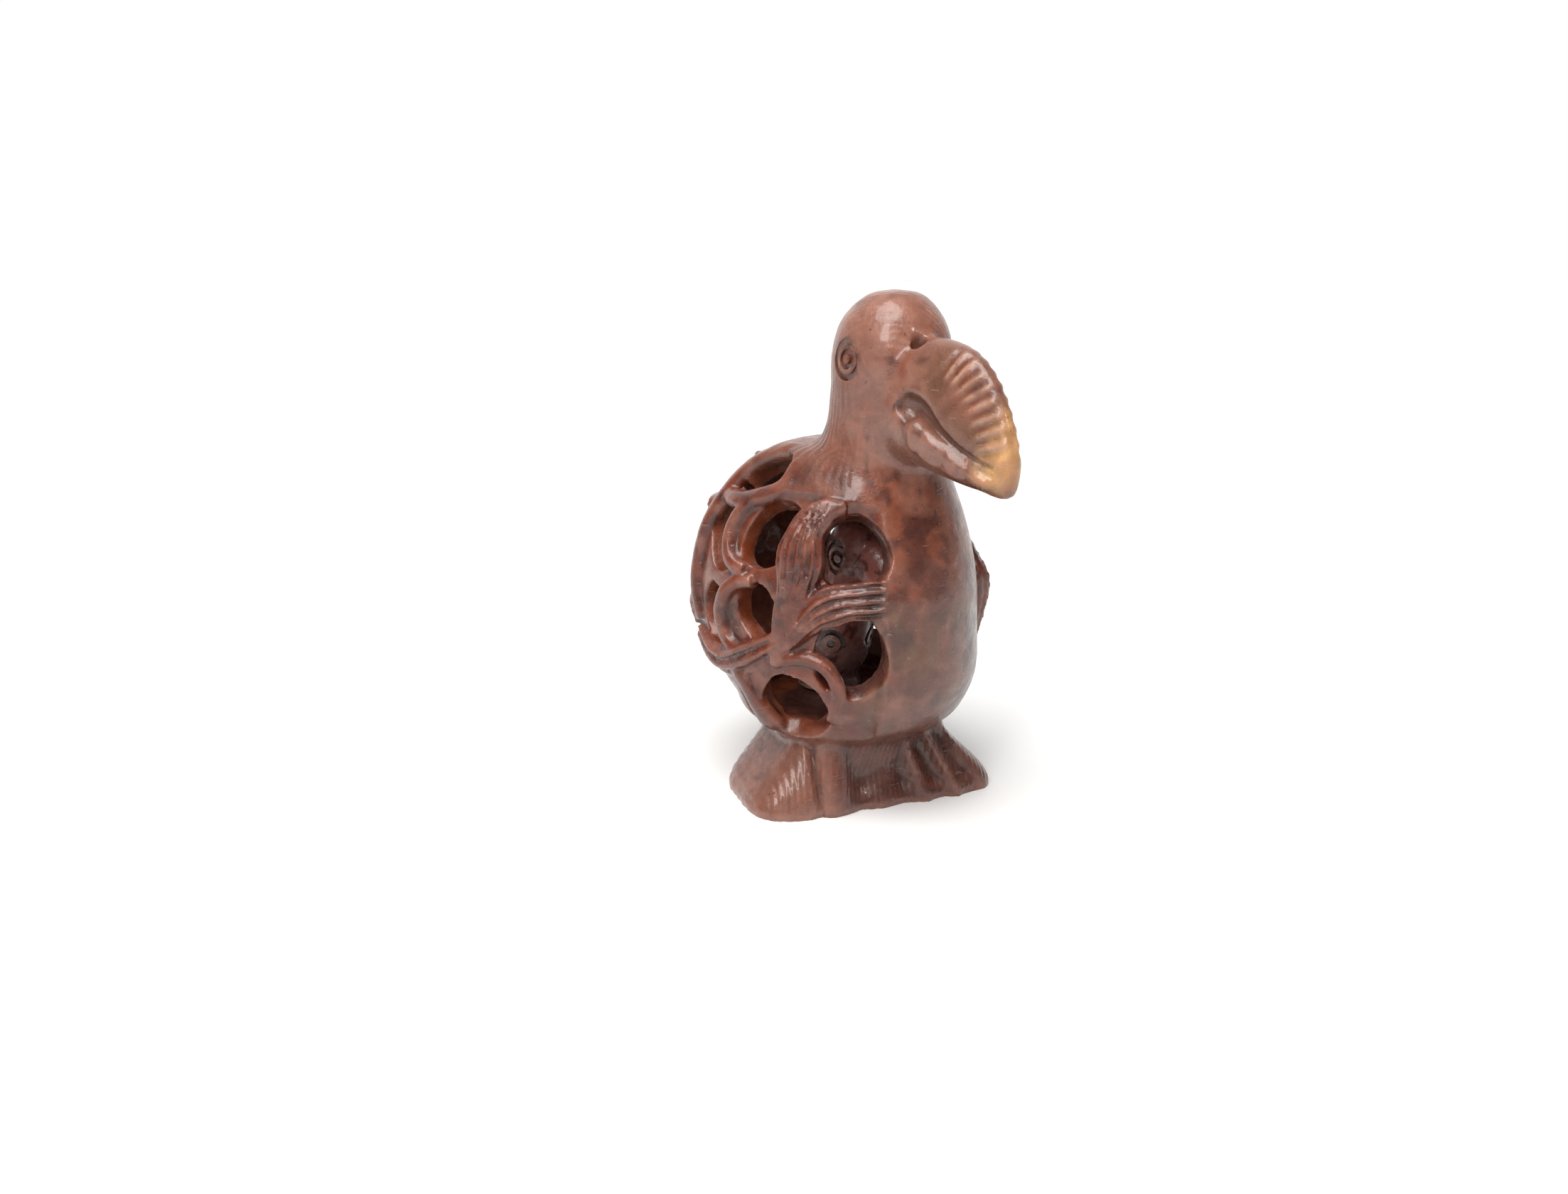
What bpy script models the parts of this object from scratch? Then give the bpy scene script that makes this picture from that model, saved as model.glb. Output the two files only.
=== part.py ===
"""Undercut stone carving of a dodo on its own base, with a loose chick inside the openwork body.

Run it with: blender --background --python part.py
Metres, +Z up. The bird faces -Y and its right side is -X. The origin is under the base.
"""

import math

import bmesh
import bpy
import numpy as np
from mathutils import Vector
from mathutils.bvhtree import BVHTree

# Sizes that are set by themselves
HEIGHT = 0.0725  # underside to crown
WALL = 0.0034  # thickness of the pierced wall
BREAST_WALL = 0.0062  # thickness of the solid breast
FLOOR = 0.0032  # stone left between the waist and the hollow
BASE_WIDTH = 0.0382
BASE_DEPTH = 0.0208
BASE_LIP = 0.0008  # upright edge round the foot of the base
BASE_TWIST = math.radians(-12)  # the base was cut a little askew to the bird
BREAST_TAPER = (6, 19)  # turns, in degrees, between which the breast's wall thins
PANEL_RECESS = 0.0008  # how far the openwork lies below the breast
CHICK_GAP = 0.0003  # clearance under the chick
EYE_DRILL = 0.0028  # outer radius of the tube drill for the dodo's eye
CHICK_DRILL = 0.0027  # and of the one for the chick's eye and wing
RING_CUT = 0.0007  # width of a tube drill's groove
RING_DEPTH = 0.0005
NOSTRIL_DRILL = 0.0011

# The figure's free forms are drawn on a figure 72.5 units high
UNIT = HEIGHT / 72.5

# How finely the stone is worked
VOXEL = 0.00045
DODO_FACES = 7200
CHICK_FACES = 900
RING_POINTS = 72
BASE_POINTS = 180
DRILL_POINTS = 20
STEPS = 7  # rings from one station to the next
CREASE = math.radians(40)  # edges sharper than this stay sharp in the shading

# Stations up the trunk: how far the back and the front reach ahead of the origin and how
# high each lies, half the width, and how far the widest place sits ahead of the middle.
TRUNK = (
    (-9.0, 5.0, 7.5, 5.0, 11.2, 0.0),
    (-11.4, 10.2, 9.2, 9.6, 13.0, 0.0),
    (-17.6, 13.6, 13.2, 13.0, 16.8, -0.02),
    (-24.8, 19.5, 16.4, 18.8, 19.4, -0.06),
    (-29.2, 26.5, 17.0, 26.0, 19.9, -0.1),
    (-30.2, 33.0, 17.0, 32.5, 19.6, -0.1),
    (-27.4, 40.6, 15.4, 39.5, 17.8, -0.1),
    (-20.4, 47.6, 13.6, 45.4, 14.4, -0.1),
    (-12.0, 51.2, 12.6, 49.2, 11.2, -0.1),
    (-5.4, 52.0, 12.4, 52.2, 9.0, 0.0),
    (-2.9, 54.3, 12.7, 56.0, 8.2, 0.0),
    (-2.3, 59.3, 13.6, 59.5, 8.0, 0.0),
    (-2.4, 64.0, 14.4, 63.5, 8.0, 0.0),
    (-0.9, 68.5, 13.2, 68.3, 6.9, 0.0),
    (2.6, 71.7, 10.2, 71.7, 3.9, 0.0),
    (6.0, 72.5, 6.8, 72.5, 0.4, 0.0),
)
HOLLOW_STATIONS = slice(1, 9)  # the part of the trunk that the hollow follows

# Stations along the beak: the ridge's reach and height, the underside's reach and height,
# half the width, and how much narrower the ridge is than the middle.
BEAK = (
    (7.5, 67.5, 8.0, 52.0, 5.5, 0.30),
    (14.0, 66.7, 12.0, 50.5, 6.6, 0.35),
    (18.6, 66.3, 16.4, 49.7, 5.9, 0.42),
    (23.1, 65.0, 20.4, 49.0, 4.9, 0.45),
    (27.0, 61.8, 23.6, 48.5, 3.9, 0.45),
    (29.8, 57.2, 26.4, 48.1, 2.9, 0.40),
    (31.0, 53.0, 28.6, 47.7, 2.0, 0.30),
    (30.9, 49.5, 30.0, 47.7, 1.0, 0.20),
)

# The chick's trunk and beak in the same form, from its own foot
CHICK_TRUNK = (
    (-5.6, 0.0, 4.2, 0.0, 5.0, 0.0),
    (-5.0, 1.8, 3.6, 1.8, 4.6, 0.0),
    (-7.0, 4.2, 5.0, 4.2, 5.8, 0.0),
    (-8.0, 8.0, 6.4, 8.0, 6.4, 0.0),
    (-7.2, 12.0, 6.8, 11.6, 6.0, 0.0),
    (-3.2, 15.2, 6.8, 14.6, 4.8, 0.0),
    (1.0, 17.0, 8.6, 17.0, 4.2, 0.0),
    (1.8, 20.0, 10.8, 20.0, 4.8, 0.0),
    (2.4, 23.0, 11.6, 23.0, 4.8, 0.0),
    (4.0, 26.0, 10.6, 25.8, 3.4, 0.0),
    (6.8, 27.0, 7.6, 27.0, 0.4, 0.0),
)
CHICK_BEAK = (
    (7.0, 25.0, 7.0, 18.5, 3.2, 0.30),
    (11.0, 24.8, 10.5, 17.6, 3.6, 0.35),
    (13.6, 23.0, 12.6, 16.6, 3.0, 0.42),
    (15.6, 20.4, 14.4, 15.6, 2.2, 0.42),
    (16.8, 17.4, 15.8, 14.6, 1.4, 0.35),
    (17.0, 15.0, 16.4, 14.0, 0.7, 0.20),
)
CHICK_BACK = 7.5  # how far the chick's middle stands behind the dodo's origin
CHICK_EYE = (7.9, 21.4)  # reach and height
CHICK_WING = (36, 7.9)  # turn from the front, and height
CHICK_DOTS = ((2.9, -2.1), (1.9, -4.1))  # beside and above the wing's middle

# Base: its narrowest place under the belly
WAIST_HEIGHT = 10.4 * UNIT
WAIST_WIDTH = 23.5 * UNIT
WAIST_DEPTH = 19.5 * UNIT
WAIST_BACK = 1.4 * UNIT  # how far the waist stands behind the foot's middle
BASE_CORNER = 4.4  # 2 would make it round and more makes it squarer

# Toes across the front of the base: left and right edge at the foot, the same under the
# belly, and how far the stone stands out between them.
TOES_WIDTH = 38.2 * UNIT  # the width of base that they are drawn on
TOES = (
    (-10.9, -9.3, -10.9, -9.3, -1.5),
    (-9.3, -5.8, -9.3, -5.7, 0.6),
    (-5.8, -0.7, -5.7, -1.2, -2.2),
    (-0.7, 6.7, -1.2, 3.5, -2.6),
    (6.7, 11.7, 3.5, 7.2, -2.2),
    (11.7, 16.5, 7.2, 10.5, -1.6),
)

# The left side is set out like the right, with its breast edge further round
RIGHT_TURNS = (0, 18, 150, 180)
LEFT_TURNS = (0, 44, 150, 180)

# The middle of the torso, from which the openwork is set out. A turn of 0 degrees looks at
# the breast and 90 at the bird's side; a rise of 90 degrees points up.
TORSO_REACH, TORSO_HEIGHT = -6.0, 31.5

# Holes of one side: turn and rise of the middle, half length and half width in degrees, and
# the lean of the length from level.
SIDE_HOLES = (
    (29.8, 19.8, 15.0, 12.8, 75),
    (30.6, -17.8, 15.4, 12.6, 90),
    (68.5, 26.5, 17.6, 12.8, -43),
    (102.0, 21.5, 15.6, 12.0, 57),
    (71.5, -7.6, 14.4, 10.8, 59),
    (99.5, -12.5, 13.8, 10.4, 48),
    (54.0, -39.5, 12.6, 11.4, 15),
    (80.0, -42.0, 6.6, 4.6, -64),
    (87.5, 51.0, 13.8, 8.6, -29),
    (110.0, 44.0, 3.8, 2.6, 30),
    (138.0, 9.0, 13.0, 10.0, 90),
    (143.0, 38.0, 9.0, 8.0, 0),
    (118.0, -34.0, 8.5, 6.0, 20),
    (150.0, -30.0, 8.5, 6.5, 0),
)
SPINE_HOLES = ((180.0, 31.0, 7.0, 7.0, 0),)
LEFT_SHRINK = 0.88  # the left side's holes are this much smaller
HOLE_REACH = (8 * UNIT, 36 * UNIT)  # from where to where a hole's cutter runs

# The panel that the openwork is cut in: where its breast and shoulder edges lie
PANEL_FRONT = (17.5, 20)
PANEL_FOOT = (-50, -44)
PANEL_TOP_TURNS = (18, 30, 45, 67, 90, 120, 180)
PANEL_TOP_RISES = (33, 35, 40, 42, 38, 56, 60)
PANEL_TOP_EDGE = 2.5

# Leaves and stems of one side: the number of flutes, then stations along it with turn,
# rise, half width and how far it stands above the smooth body, in units.
RIGHT_BIG_LEAF = (
    (60, -24, 1.3, -0.1), (57, -13, 1.8, 0.2), (53, 0, 2.5, 0.8), (51, 11, 3.0, 1.4),
    (50, 22, 3.0, 1.8), (47, 30, 2.5, 1.7), (40, 35, 1.8, 1.3), (32, 36, 1.0, 0.7),
)
LEFT_BIG_LEAF = (
    (40, -38, 1.3, -0.3), (37, -28, 1.8, 0.2), (35, -18, 2.6, 1.3), (34, -8, 3.2, 2.1),
    (33, 1, 3.0, 2.0), (32, 9, 2.4, 0.8), (30, 18, 1.6, -0.2), (26, 27, 1.0, -0.5),
)
BIG_LEAF_FLUTES = 6
SIDE_LEAVES = (
    (4, ((57, -19, 0.9, 0.0), (49, -9, 1.8, 0.5), (42, -2, 2.5, 0.7), (34, 1.5, 2.7, 0.4),
         (26, 2.5, 2.6, 0.0), (18, 3, 2.4, -0.4))),
    (0, ((62, -24.5, 1.0, 0.0), (51, -21.5, 1.0, 0.1), (43, -21.5, 1.0, 0.1), (37, -25, 1.0, 0.0),
         (34, -32, 1.1, -0.2), (36, -42, 1.2, -0.6))),
    (0, ((88, -27, 1.3, 0.1), (79, -34, 1.4, 0.3), (73, -42, 1.5, 0.4), (69, -49, 1.8, 0.4),
         (68, -53, 1.2, 0.0))),
    (2, ((118, -23, 1.6, 0.2), (104, -28, 1.9, 0.3), (90, -29, 2.0, 0.4), (76, -25, 2.0, 0.5),
         (64, -19, 1.8, 0.4), (54, -13, 1.2, 0.2))),
    (0, ((76, 41, 0.9, 0.2), (86, 38, 1.0, 0.5), (92, 31, 1.1, 0.7), (93, 21, 1.1, 0.8),
         (89, 13, 1.2, 0.7), (80, 9.5, 1.2, 0.4))),
    (0, ((75, 6, 1.0, 0.1), (84, 4, 1.2, 0.5), (90, -2, 1.3, 0.8), (92, -12, 1.3, 0.8),
         (88, -21, 1.2, 0.5), (79, -24, 1.1, 0.2))),
    (0, ((66, 63, 1.2, 0.0), (88, 63, 1.5, 0.5), (106, 57, 1.6, 0.5), (115, 48, 1.6, 0.5),
         (119, 34, 1.7, 0.5), (121, 16, 1.7, 0.5), (121, -2, 1.7, 0.4), (117, -18, 1.5, 0.2))),
    (0, ((62, 47, 1.2, 0.2), (80, 41.5, 1.4, 0.5), (98, 37.5, 1.4, 0.5), (114, 37, 1.2, 0.2))),
    (4, ((166, -48, 1.2, 0.0), (164, -36, 1.8, 0.4), (160, -20, 2.4, 0.7), (157, -4, 2.6, 0.9),
         (158, 12, 2.4, 0.8), (152, 23, 1.8, 0.5), (138, 26, 1.2, 0.2))),
    (2, ((122, -20, 1.2, 0.1), (132, -13, 1.6, 0.4), (146, -12, 1.7, 0.4), (158, -14, 1.3, 0.2))),
    (2, ((162, 16, 1.2, 0.2), (164, 30, 1.7, 0.5), (162, 44, 1.6, 0.4), (142, 54, 1.2, 0.1))),
)
LEAF_ROOT = 2.2 * UNIT  # how deep a leaf is rooted below the smooth body
FLUTE_DEPTH = 0.35 * UNIT

# Head
EYE = (6.5, 63.6)  # reach and height
NOSTRIL_TOP = (2.3, 15.0, 69.0)  # half spacing, reach and height where the drill enters
NOSTRIL_END = (1.8, 14.0, 64.6)
MOUTH = (  # reach, height, radius of the groove and how deep its middle lies, in units
    (16.2, 57.9, 1.7, 0.1),
    (18.4, 56.9, 1.35, 0.2),
    (21.0, 55.4, 0.75, 0.2),
    (24.0, 53.6, 0.5, 0.1),
    (27.0, 52.2, 0.4, 0.1),
    (29.2, 51.4, 0.3, 0.1),
)
BEAK_FLUTES = 13
BEAK_FLUTE_DEPTH = 0.35 * UNIT
BEAK_FLUTE_BAND = 2.4 * UNIT  # how far from the middle plane the flutes run


def clear_scene():
    for obj in list(bpy.data.objects):
        bpy.data.objects.remove(obj)


def smooth_rows(rows, steps):
    """Rows of numbers through the stations, evenly filled in by a Catmull-Rom curve."""
    rows = np.array(rows, float)
    ends = np.vstack([2 * rows[0] - rows[1], rows, 2 * rows[-1] - rows[-2]])
    filled = []
    for before, first, last, after in zip(ends, ends[1:], ends[2:], ends[3:]):
        for t in np.arange(steps) / steps:
            curve = 2 * first + (last - before) * t
            curve = curve + (2 * before - 5 * first + 4 * last - after) * t**2
            curve = curve + (3 * first - before - 3 * last + after) * t**3
            filled.append(curve / 2)
    return np.array(filled + [rows[-1]])


def ease(low, high, value):
    """0 below low, 1 above high, and a smooth step between."""
    t = np.clip((value - low) / (high - low), 0, 1)
    return t * t * (3 - 2 * t)


def turns(points):
    return np.arange(points) * (2 * np.pi / points)


def power(values, exponent):
    return np.sign(values) * np.abs(values) ** exponent


def add_object(name, points, faces):
    mesh = bpy.data.meshes.new(name)
    mesh.from_pydata([tuple(p) for p in points], [], faces)
    obj = bpy.data.objects.new(name, mesh)
    bpy.context.scene.collection.objects.link(obj)
    face_out(obj)
    return obj


def face_out(obj):
    mesh = bmesh.new()
    mesh.from_mesh(obj.data)
    bmesh.ops.recalc_face_normals(mesh, faces=mesh.faces)
    mesh.to_mesh(obj.data)
    mesh.free()


def tube_faces(rows, points, first=0, closed=False):
    """Faces over rows of points, with a cap at each end unless the rows close in a loop."""
    faces = []
    for i in range(rows if closed else rows - 1):
        for j in range(points):
            k = (j + 1) % points
            low, high = first + i * points, first + (i + 1) % rows * points
            faces.append((low + j, low + k, high + k, high + j))
    if not closed:
        faces.append(tuple(first + j for j in reversed(range(points))))
        faces.append(tuple(first + (rows - 1) * points + j for j in range(points)))
    return faces


def skins(name, tubes, closed=False):
    """One object from several closed tubes, each a list of rings."""
    points, faces = [], []
    for rings in tubes:
        rings = np.array(rings)
        faces += tube_faces(len(rings), rings.shape[1], len(points), closed)
        points += list(rings.reshape(-1, 3))
    return add_object(name, points, faces)


def trunk_rings(rows):
    """Egg-shaped rings, each through a back point and a front point."""
    a = turns(RING_POINTS)
    rings = []
    for back_reach, back_z, front_reach, front_z, half_width, ahead in rows:
        along = np.cos(a) + ahead * np.sin(a) ** 2
        reach = (front_reach + back_reach) / 2 + (front_reach - back_reach) / 2 * along
        height = (front_z + back_z) / 2 + (front_z - back_z) / 2 * along
        rings.append(np.stack([half_width * np.sin(a), -reach, height], -1) * UNIT)
    return np.array(rings)


def beak_rings(rows):
    """Wedge-shaped rings, narrower at the ridge than in the middle."""
    a = turns(RING_POINTS)
    up, out = power(np.cos(a), 0.8), power(np.sin(a), 0.8)
    rings = []
    for top_reach, top_z, low_reach, low_z, half_width, pinch in rows:
        reach = (top_reach + low_reach) / 2 + (top_reach - low_reach) / 2 * up
        height = (top_z + low_z) / 2 + (top_z - low_z) / 2 * up
        width = half_width * (1 - pinch * (up + 1) / 2) * out
        rings.append(np.stack([width, -reach, height], -1) * UNIT)
    return np.array(rings)


def base_rings():
    """Rounded oblongs from the foot to the waist, with the toes in their front."""
    a = turns(BASE_POINTS)
    heights = [0, BASE_LIP] + [BASE_LIP + (WAIST_HEIGHT - BASE_LIP) * i / 12 for i in range(1, 13)]
    rings = []
    for z in heights:
        h = max(0, (z - BASE_LIP) / (WAIST_HEIGHT - BASE_LIP))
        share = 0.7 * ease(0, 1, h) + 0.3 * h
        width = BASE_WIDTH + (WAIST_WIDTH - BASE_WIDTH) * share
        depth = BASE_DEPTH + (WAIST_DEPTH - BASE_DEPTH) * share
        x = power(np.sin(a), 2 / BASE_CORNER) * width / 2
        y = -power(np.cos(a), 2 / BASE_CORNER) * depth / 2
        front = ease(0.55, 0.9, -y / (depth / 2))
        for left, right, top_left, top_right, out in TOES:
            start = (left + (top_left - left) * h) * UNIT * BASE_WIDTH / TOES_WIDTH
            stop = (right + (top_right - right) * h) * UNIT * BASE_WIDTH / TOES_WIDTH
            across = np.clip((x - start) / (stop - start), 0, 1)
            y = y - front * out * (0.45 + 0.55 * ease(0, 0.3, h)) * UNIT * np.sin(np.pi * across)
        c, s = math.cos(BASE_TWIST), math.sin(BASE_TWIST)
        ring = np.stack([x * c - y * s, x * s + y * c, np.full_like(x, z)], -1)
        rings.append(ring + [0, WAIST_BACK * share, 0])
    return np.array(rings)


def torso_middle():
    return np.array([0, -TORSO_REACH, TORSO_HEIGHT]) * UNIT


def direction(turn, rise):
    """Unit vector from the torso's middle, and the level and upright vectors square to it."""
    t, r = np.radians(turn), np.radians(rise)
    out = np.array([-np.sin(t) * np.cos(r), -np.cos(t) * np.cos(r), np.sin(r)])
    level = np.array([-np.cos(t), np.sin(t), 0 * t])
    upright = np.array([np.sin(t) * np.sin(r), np.cos(t) * np.sin(r), np.cos(r)])
    return out, level, upright


def left_turn(turn):
    """Where a turn of the right side comes on the left, which has the broader breast."""
    return np.interp(turn, RIGHT_TURNS, LEFT_TURNS)


def same_turn(turn):
    """The right side's turn for a signed turn, which is negative on the left."""
    return np.where(turn < 0, np.interp(-turn, LEFT_TURNS, RIGHT_TURNS), turn)


def hollow_rings():
    """The trunk's own rings moved inwards by the wall, with a flat floor."""
    rings = trunk_rings(smooth_rows(TRUNK[HOLLOW_STATIONS], STEPS))
    up = np.gradient(rings, axis=0)
    round_it = np.roll(rings, -1, 1) - np.roll(rings, 1, 1)
    inwards = np.cross(up, round_it)
    inwards /= np.linalg.norm(inwards, axis=2, keepdims=True)
    middle = rings.mean(1, keepdims=True)
    inwards *= np.sign((inwards * (middle - rings)).sum(2, keepdims=True))
    turn = np.degrees(np.arctan2(-rings[..., 0], -(rings[..., 1] - torso_middle()[1])))
    breast = 1 - ease(*BREAST_TAPER, same_turn(turn))
    wall = WALL + (BREAST_WALL - WALL) * breast
    rings = rings + inwards * wall[..., None]
    floor = WAIST_HEIGHT + FLOOR
    rings = [ring for ring in rings if ring[:, 2].min() > floor + WALL / 4]
    foot = rings[0].copy()
    foot[:, 2] = floor
    return np.array([foot] + rings)


def hole_rings(turn, rise, half_long, half_wide, lean, points=28):
    """A cone from inside the hollow to well outside, with an oval outline."""
    out, level, upright = direction(turn, rise)
    a = turns(points)
    c, s = math.cos(math.radians(lean)), math.sin(math.radians(lean))
    long, wide = np.tan(np.radians(half_long)) * np.cos(a), np.tan(np.radians(half_wide)) * np.sin(a)
    x, y = long * c - wide * s, long * s + wide * c
    ray = out + x[:, None] * level + y[:, None] * upright
    ray /= np.linalg.norm(ray, axis=1, keepdims=True)
    return np.array([torso_middle() + ray * reach for reach in HOLE_REACH])


def leaf_rings(body, flutes, stations, side):
    """A ridged ribbon laid on the body, each station with turn, rise, half width and height."""
    rows = smooth_rows(stations, 6)
    turn = rows[:, 0] if side == 1 else -left_turn(rows[:, 0])
    out, level, upright = direction(turn, rows[:, 1])
    out = out.T
    middle = torso_middle()
    smooth = []
    for ray in out:
        hit = body.ray_cast(Vector(middle), Vector(ray))
        smooth.append(np.array(hit[0]))
    smooth = np.array(smooth)
    along = np.gradient(smooth, axis=0)
    across = np.cross(along, out)
    across /= np.linalg.norm(across, axis=1, keepdims=True)
    a = turns(40)
    x = power(np.cos(a), 0.8)
    z = power(np.sin(a), 0.8)
    ridge = np.cos(np.pi * flutes * x) * (z > 0) * FLUTE_DEPTH if flutes else 0 * x
    rings = []
    for point, n, t, (_, _, half_width, height) in zip(smooth, out, across, rows):
        thick = (height * UNIT + LEAF_ROOT) / 2
        lift = (height * UNIT - LEAF_ROOT) / 2
        up = lift + z * thick + ridge * min(1, half_width / 2)
        rings.append(point + t * (x * half_width * UNIT)[:, None] + n * up[:, None])
    return np.array(rings)


def worm_rings(points, radii, count=16):
    """A round tube of changing thickness along a run of points."""
    along = np.gradient(points, axis=0)
    along /= np.linalg.norm(along, axis=1, keepdims=True)
    side = np.cross(along, [0, 0, 1.0])
    side /= np.linalg.norm(side, axis=1, keepdims=True)
    up = np.cross(side, along)
    a = turns(count)
    rings = []
    for p, r, s, u in zip(points, radii, side, up):
        rings.append(p + r * (np.cos(a)[:, None] * s + np.sin(a)[:, None] * u))
    return np.array(rings)


def drill_rings(centre, axis, radius, depth, cut):
    """The groove that a tube drill leaves, as the ring-shaped body that it removes."""
    axis = np.array(axis) / np.linalg.norm(axis)
    side = np.cross(axis, [0, 0, 1.0])
    side /= np.linalg.norm(side)
    up = np.cross(side, axis)
    rings = []
    for a in turns(DRILL_POINTS):
        ray = math.cos(a) * side + math.sin(a) * up
        corners = ((radius, 1), (radius, -4), (radius - cut, -4), (radius - cut, 1))
        rings.append([centre + ray * r - axis * d * depth for r, d in corners])
    return np.array(rings)


def settle(obj):
    """Puts what the modifiers make in the place of the object's mesh."""
    graph = bpy.context.evaluated_depsgraph_get()
    mesh = bpy.data.meshes.new_from_object(obj.evaluated_get(graph))
    obj.modifiers.clear()
    obj.data = mesh


def combine(obj, tool, operation, crossing=False):
    """Joins or cuts with a tool, which is used up. A tool of skins that cross says so."""
    modifier = obj.modifiers.new(operation, "BOOLEAN")
    modifier.operation = operation
    modifier.object = tool
    modifier.use_self = crossing
    settle(obj)
    bpy.data.objects.remove(tool)


def remesh(obj, voxel):
    modifier = obj.modifiers.new("even", "REMESH")
    modifier.mode = "VOXEL"
    modifier.voxel_size = voxel
    settle(obj)


def merge_into(obj, other):
    """Puts a second object's mesh beside the first one's, in one mesh."""
    mesh = bmesh.new()
    mesh.from_mesh(obj.data)
    mesh.from_mesh(other.data)
    mesh.to_mesh(obj.data)
    mesh.free()
    bpy.data.objects.remove(other)


def read_points(obj):
    flat = np.empty(len(obj.data.vertices) * 3)
    obj.data.vertices.foreach_get("co", flat)
    return flat.reshape(-1, 3)


def move_points(obj, points):
    obj.data.vertices.foreach_set("co", points.ravel())
    obj.data.update()


def read_normals(obj):
    flat = np.empty(len(obj.data.vertices) * 3)
    obj.data.vertex_normals.foreach_get("vector", flat)
    return flat.reshape(-1, 3)


def soften(obj, rounds, weight=None):
    """Draws each vertex half way to its neighbours' middle, as much as weight says."""
    points = read_points(obj)
    edges = np.empty(len(obj.data.edges) * 2, int)
    obj.data.edges.foreach_get("vertices", edges)
    a, b = edges.reshape(-1, 2).T
    count = np.bincount(np.concatenate([a, b]), minlength=len(points))[:, None]
    share = 0.5 if weight is None else 0.5 * weight(points)[:, None]
    for _ in range(rounds):
        total = np.zeros_like(points)
        for k in range(3):
            total[:, k] = np.bincount(a, points[b, k], len(points))
            total[:, k] += np.bincount(b, points[a, k], len(points))
        points = points + share * (total / count - points)
    move_points(obj, points)


def cheek_weight(points):
    """1 where the beak grows out of the head and the belly out of the neck, below the brow."""
    reach, height = -points[:, 1] / UNIT, points[:, 2] / UNIT
    below_brow = 1 - ease(61, 66, height)
    return below_brow * ease(2, 6, reach) * (1 - ease(15, 19, reach)) * ease(44, 48, height)


def sink_panel(obj):
    """Sets the openwork back from the breast and the shoulder."""
    points = read_points(obj)
    ray = points - torso_middle()
    far = np.linalg.norm(ray, axis=1)
    turn = same_turn(np.degrees(np.arctan2(-ray[:, 0], -ray[:, 1])))
    rise = np.degrees(np.arcsin(ray[:, 2] / far))
    panel = ease(*PANEL_FRONT, turn) * ease(*PANEL_FOOT, rise)
    top = np.interp(turn, PANEL_TOP_TURNS, PANEL_TOP_RISES)
    panel *= 1 - ease(0, PANEL_TOP_EDGE, rise - top)
    move_points(obj, points - ray / far[:, None] * (PANEL_RECESS * panel)[:, None])


def flute_beak(obj):
    """Cross grooves over the ridge of the beak."""
    points = read_points(obj)
    normals = read_normals(obj)
    ridge = smooth_rows(BEAK[1:], STEPS)[:, :2] * UNIT
    length = np.concatenate([[0], np.cumsum(np.linalg.norm(np.diff(ridge, axis=0), axis=1))])
    length /= length[-1]
    flat = np.stack([-points[:, 1], points[:, 2]], -1)
    gap = np.linalg.norm(flat[:, None] - ridge[None], axis=2)
    near = gap.argmin(1)
    place = length[near]
    band = 1 - ease(0.6, 1, np.abs(points[:, 0]) / BEAK_FLUTE_BAND)
    band *= 1 - ease(2.0 * UNIT, 3.6 * UNIT, gap.min(1))
    band *= ease(0.12, 0.2, place) * (1 - ease(0.84, 0.92, place))
    wave = 0.5 - 0.5 * np.cos(2 * np.pi * BEAK_FLUTES * place)
    move_points(obj, points - normals * (BEAK_FLUTE_DEPTH * band * wave)[:, None])


def thin(obj, faces):
    """Triangles, as many as asked for."""
    obj.modifiers.new("triangles", "TRIANGULATE")
    settle(obj)
    modifier = obj.modifiers.new("fewer", "DECIMATE")
    modifier.ratio = faces / len(obj.data.polygons)
    modifier.use_collapse_triangulate = True
    settle(obj)


def surface_point(tree, reach, height, side):
    """The skin's outermost point on the bird's right (side -1) or left (side 1)."""
    start = Vector((side * 40 * UNIT, -reach * UNIT, height * UNIT))
    return np.array(tree.ray_cast(start, Vector((-side, 0, 0)))[0])


def tree_of(obj):
    return BVHTree.FromObject(obj, bpy.context.evaluated_depsgraph_get())


def head_cuts(outer):
    """Mouth grooves and nostrils of both sides."""
    tubes = []
    for side in (-1, 1):
        rows = smooth_rows(MOUTH, 4)
        line = np.array([surface_point(outer, r, z, side) for r, z, _, _ in rows])
        line[:, 0] -= side * rows[:, 3] * UNIT
        tubes.append(worm_rings(line, rows[:, 2] * UNIT))
        top, end = [np.array([side * x, -r, z]) * UNIT for x, r, z in (NOSTRIL_TOP, NOSTRIL_END)]
        run = top + (end - top) * np.linspace(0, 1, 4)[:, None]
        tubes.append(worm_rings(run, [NOSTRIL_DRILL] * 4))
    return tubes


def drill_set(centre, axis, radius):
    """Two rings, one inside the other, as a carver's tube drills leave them."""
    inner = radius * 0.48
    return [
        drill_rings(centre, axis, radius, RING_DEPTH, RING_CUT),
        drill_rings(centre, axis, inner, RING_DEPTH, RING_CUT * 0.8),
    ]


def pit(centre, axis, radius):
    """A small drilled dot."""
    run = centre + axis * np.linspace(-1.2, 1.2, 3)[:, None] * RING_DEPTH
    return worm_rings(run, [radius] * 3, 8)


def flatten_foot(obj, level):
    """Presses what lies about the foot's level on to one plane."""
    points = read_points(obj)
    points[points[:, 2] < level + VOXEL / 2, 2] = level
    move_points(obj, points)


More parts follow.
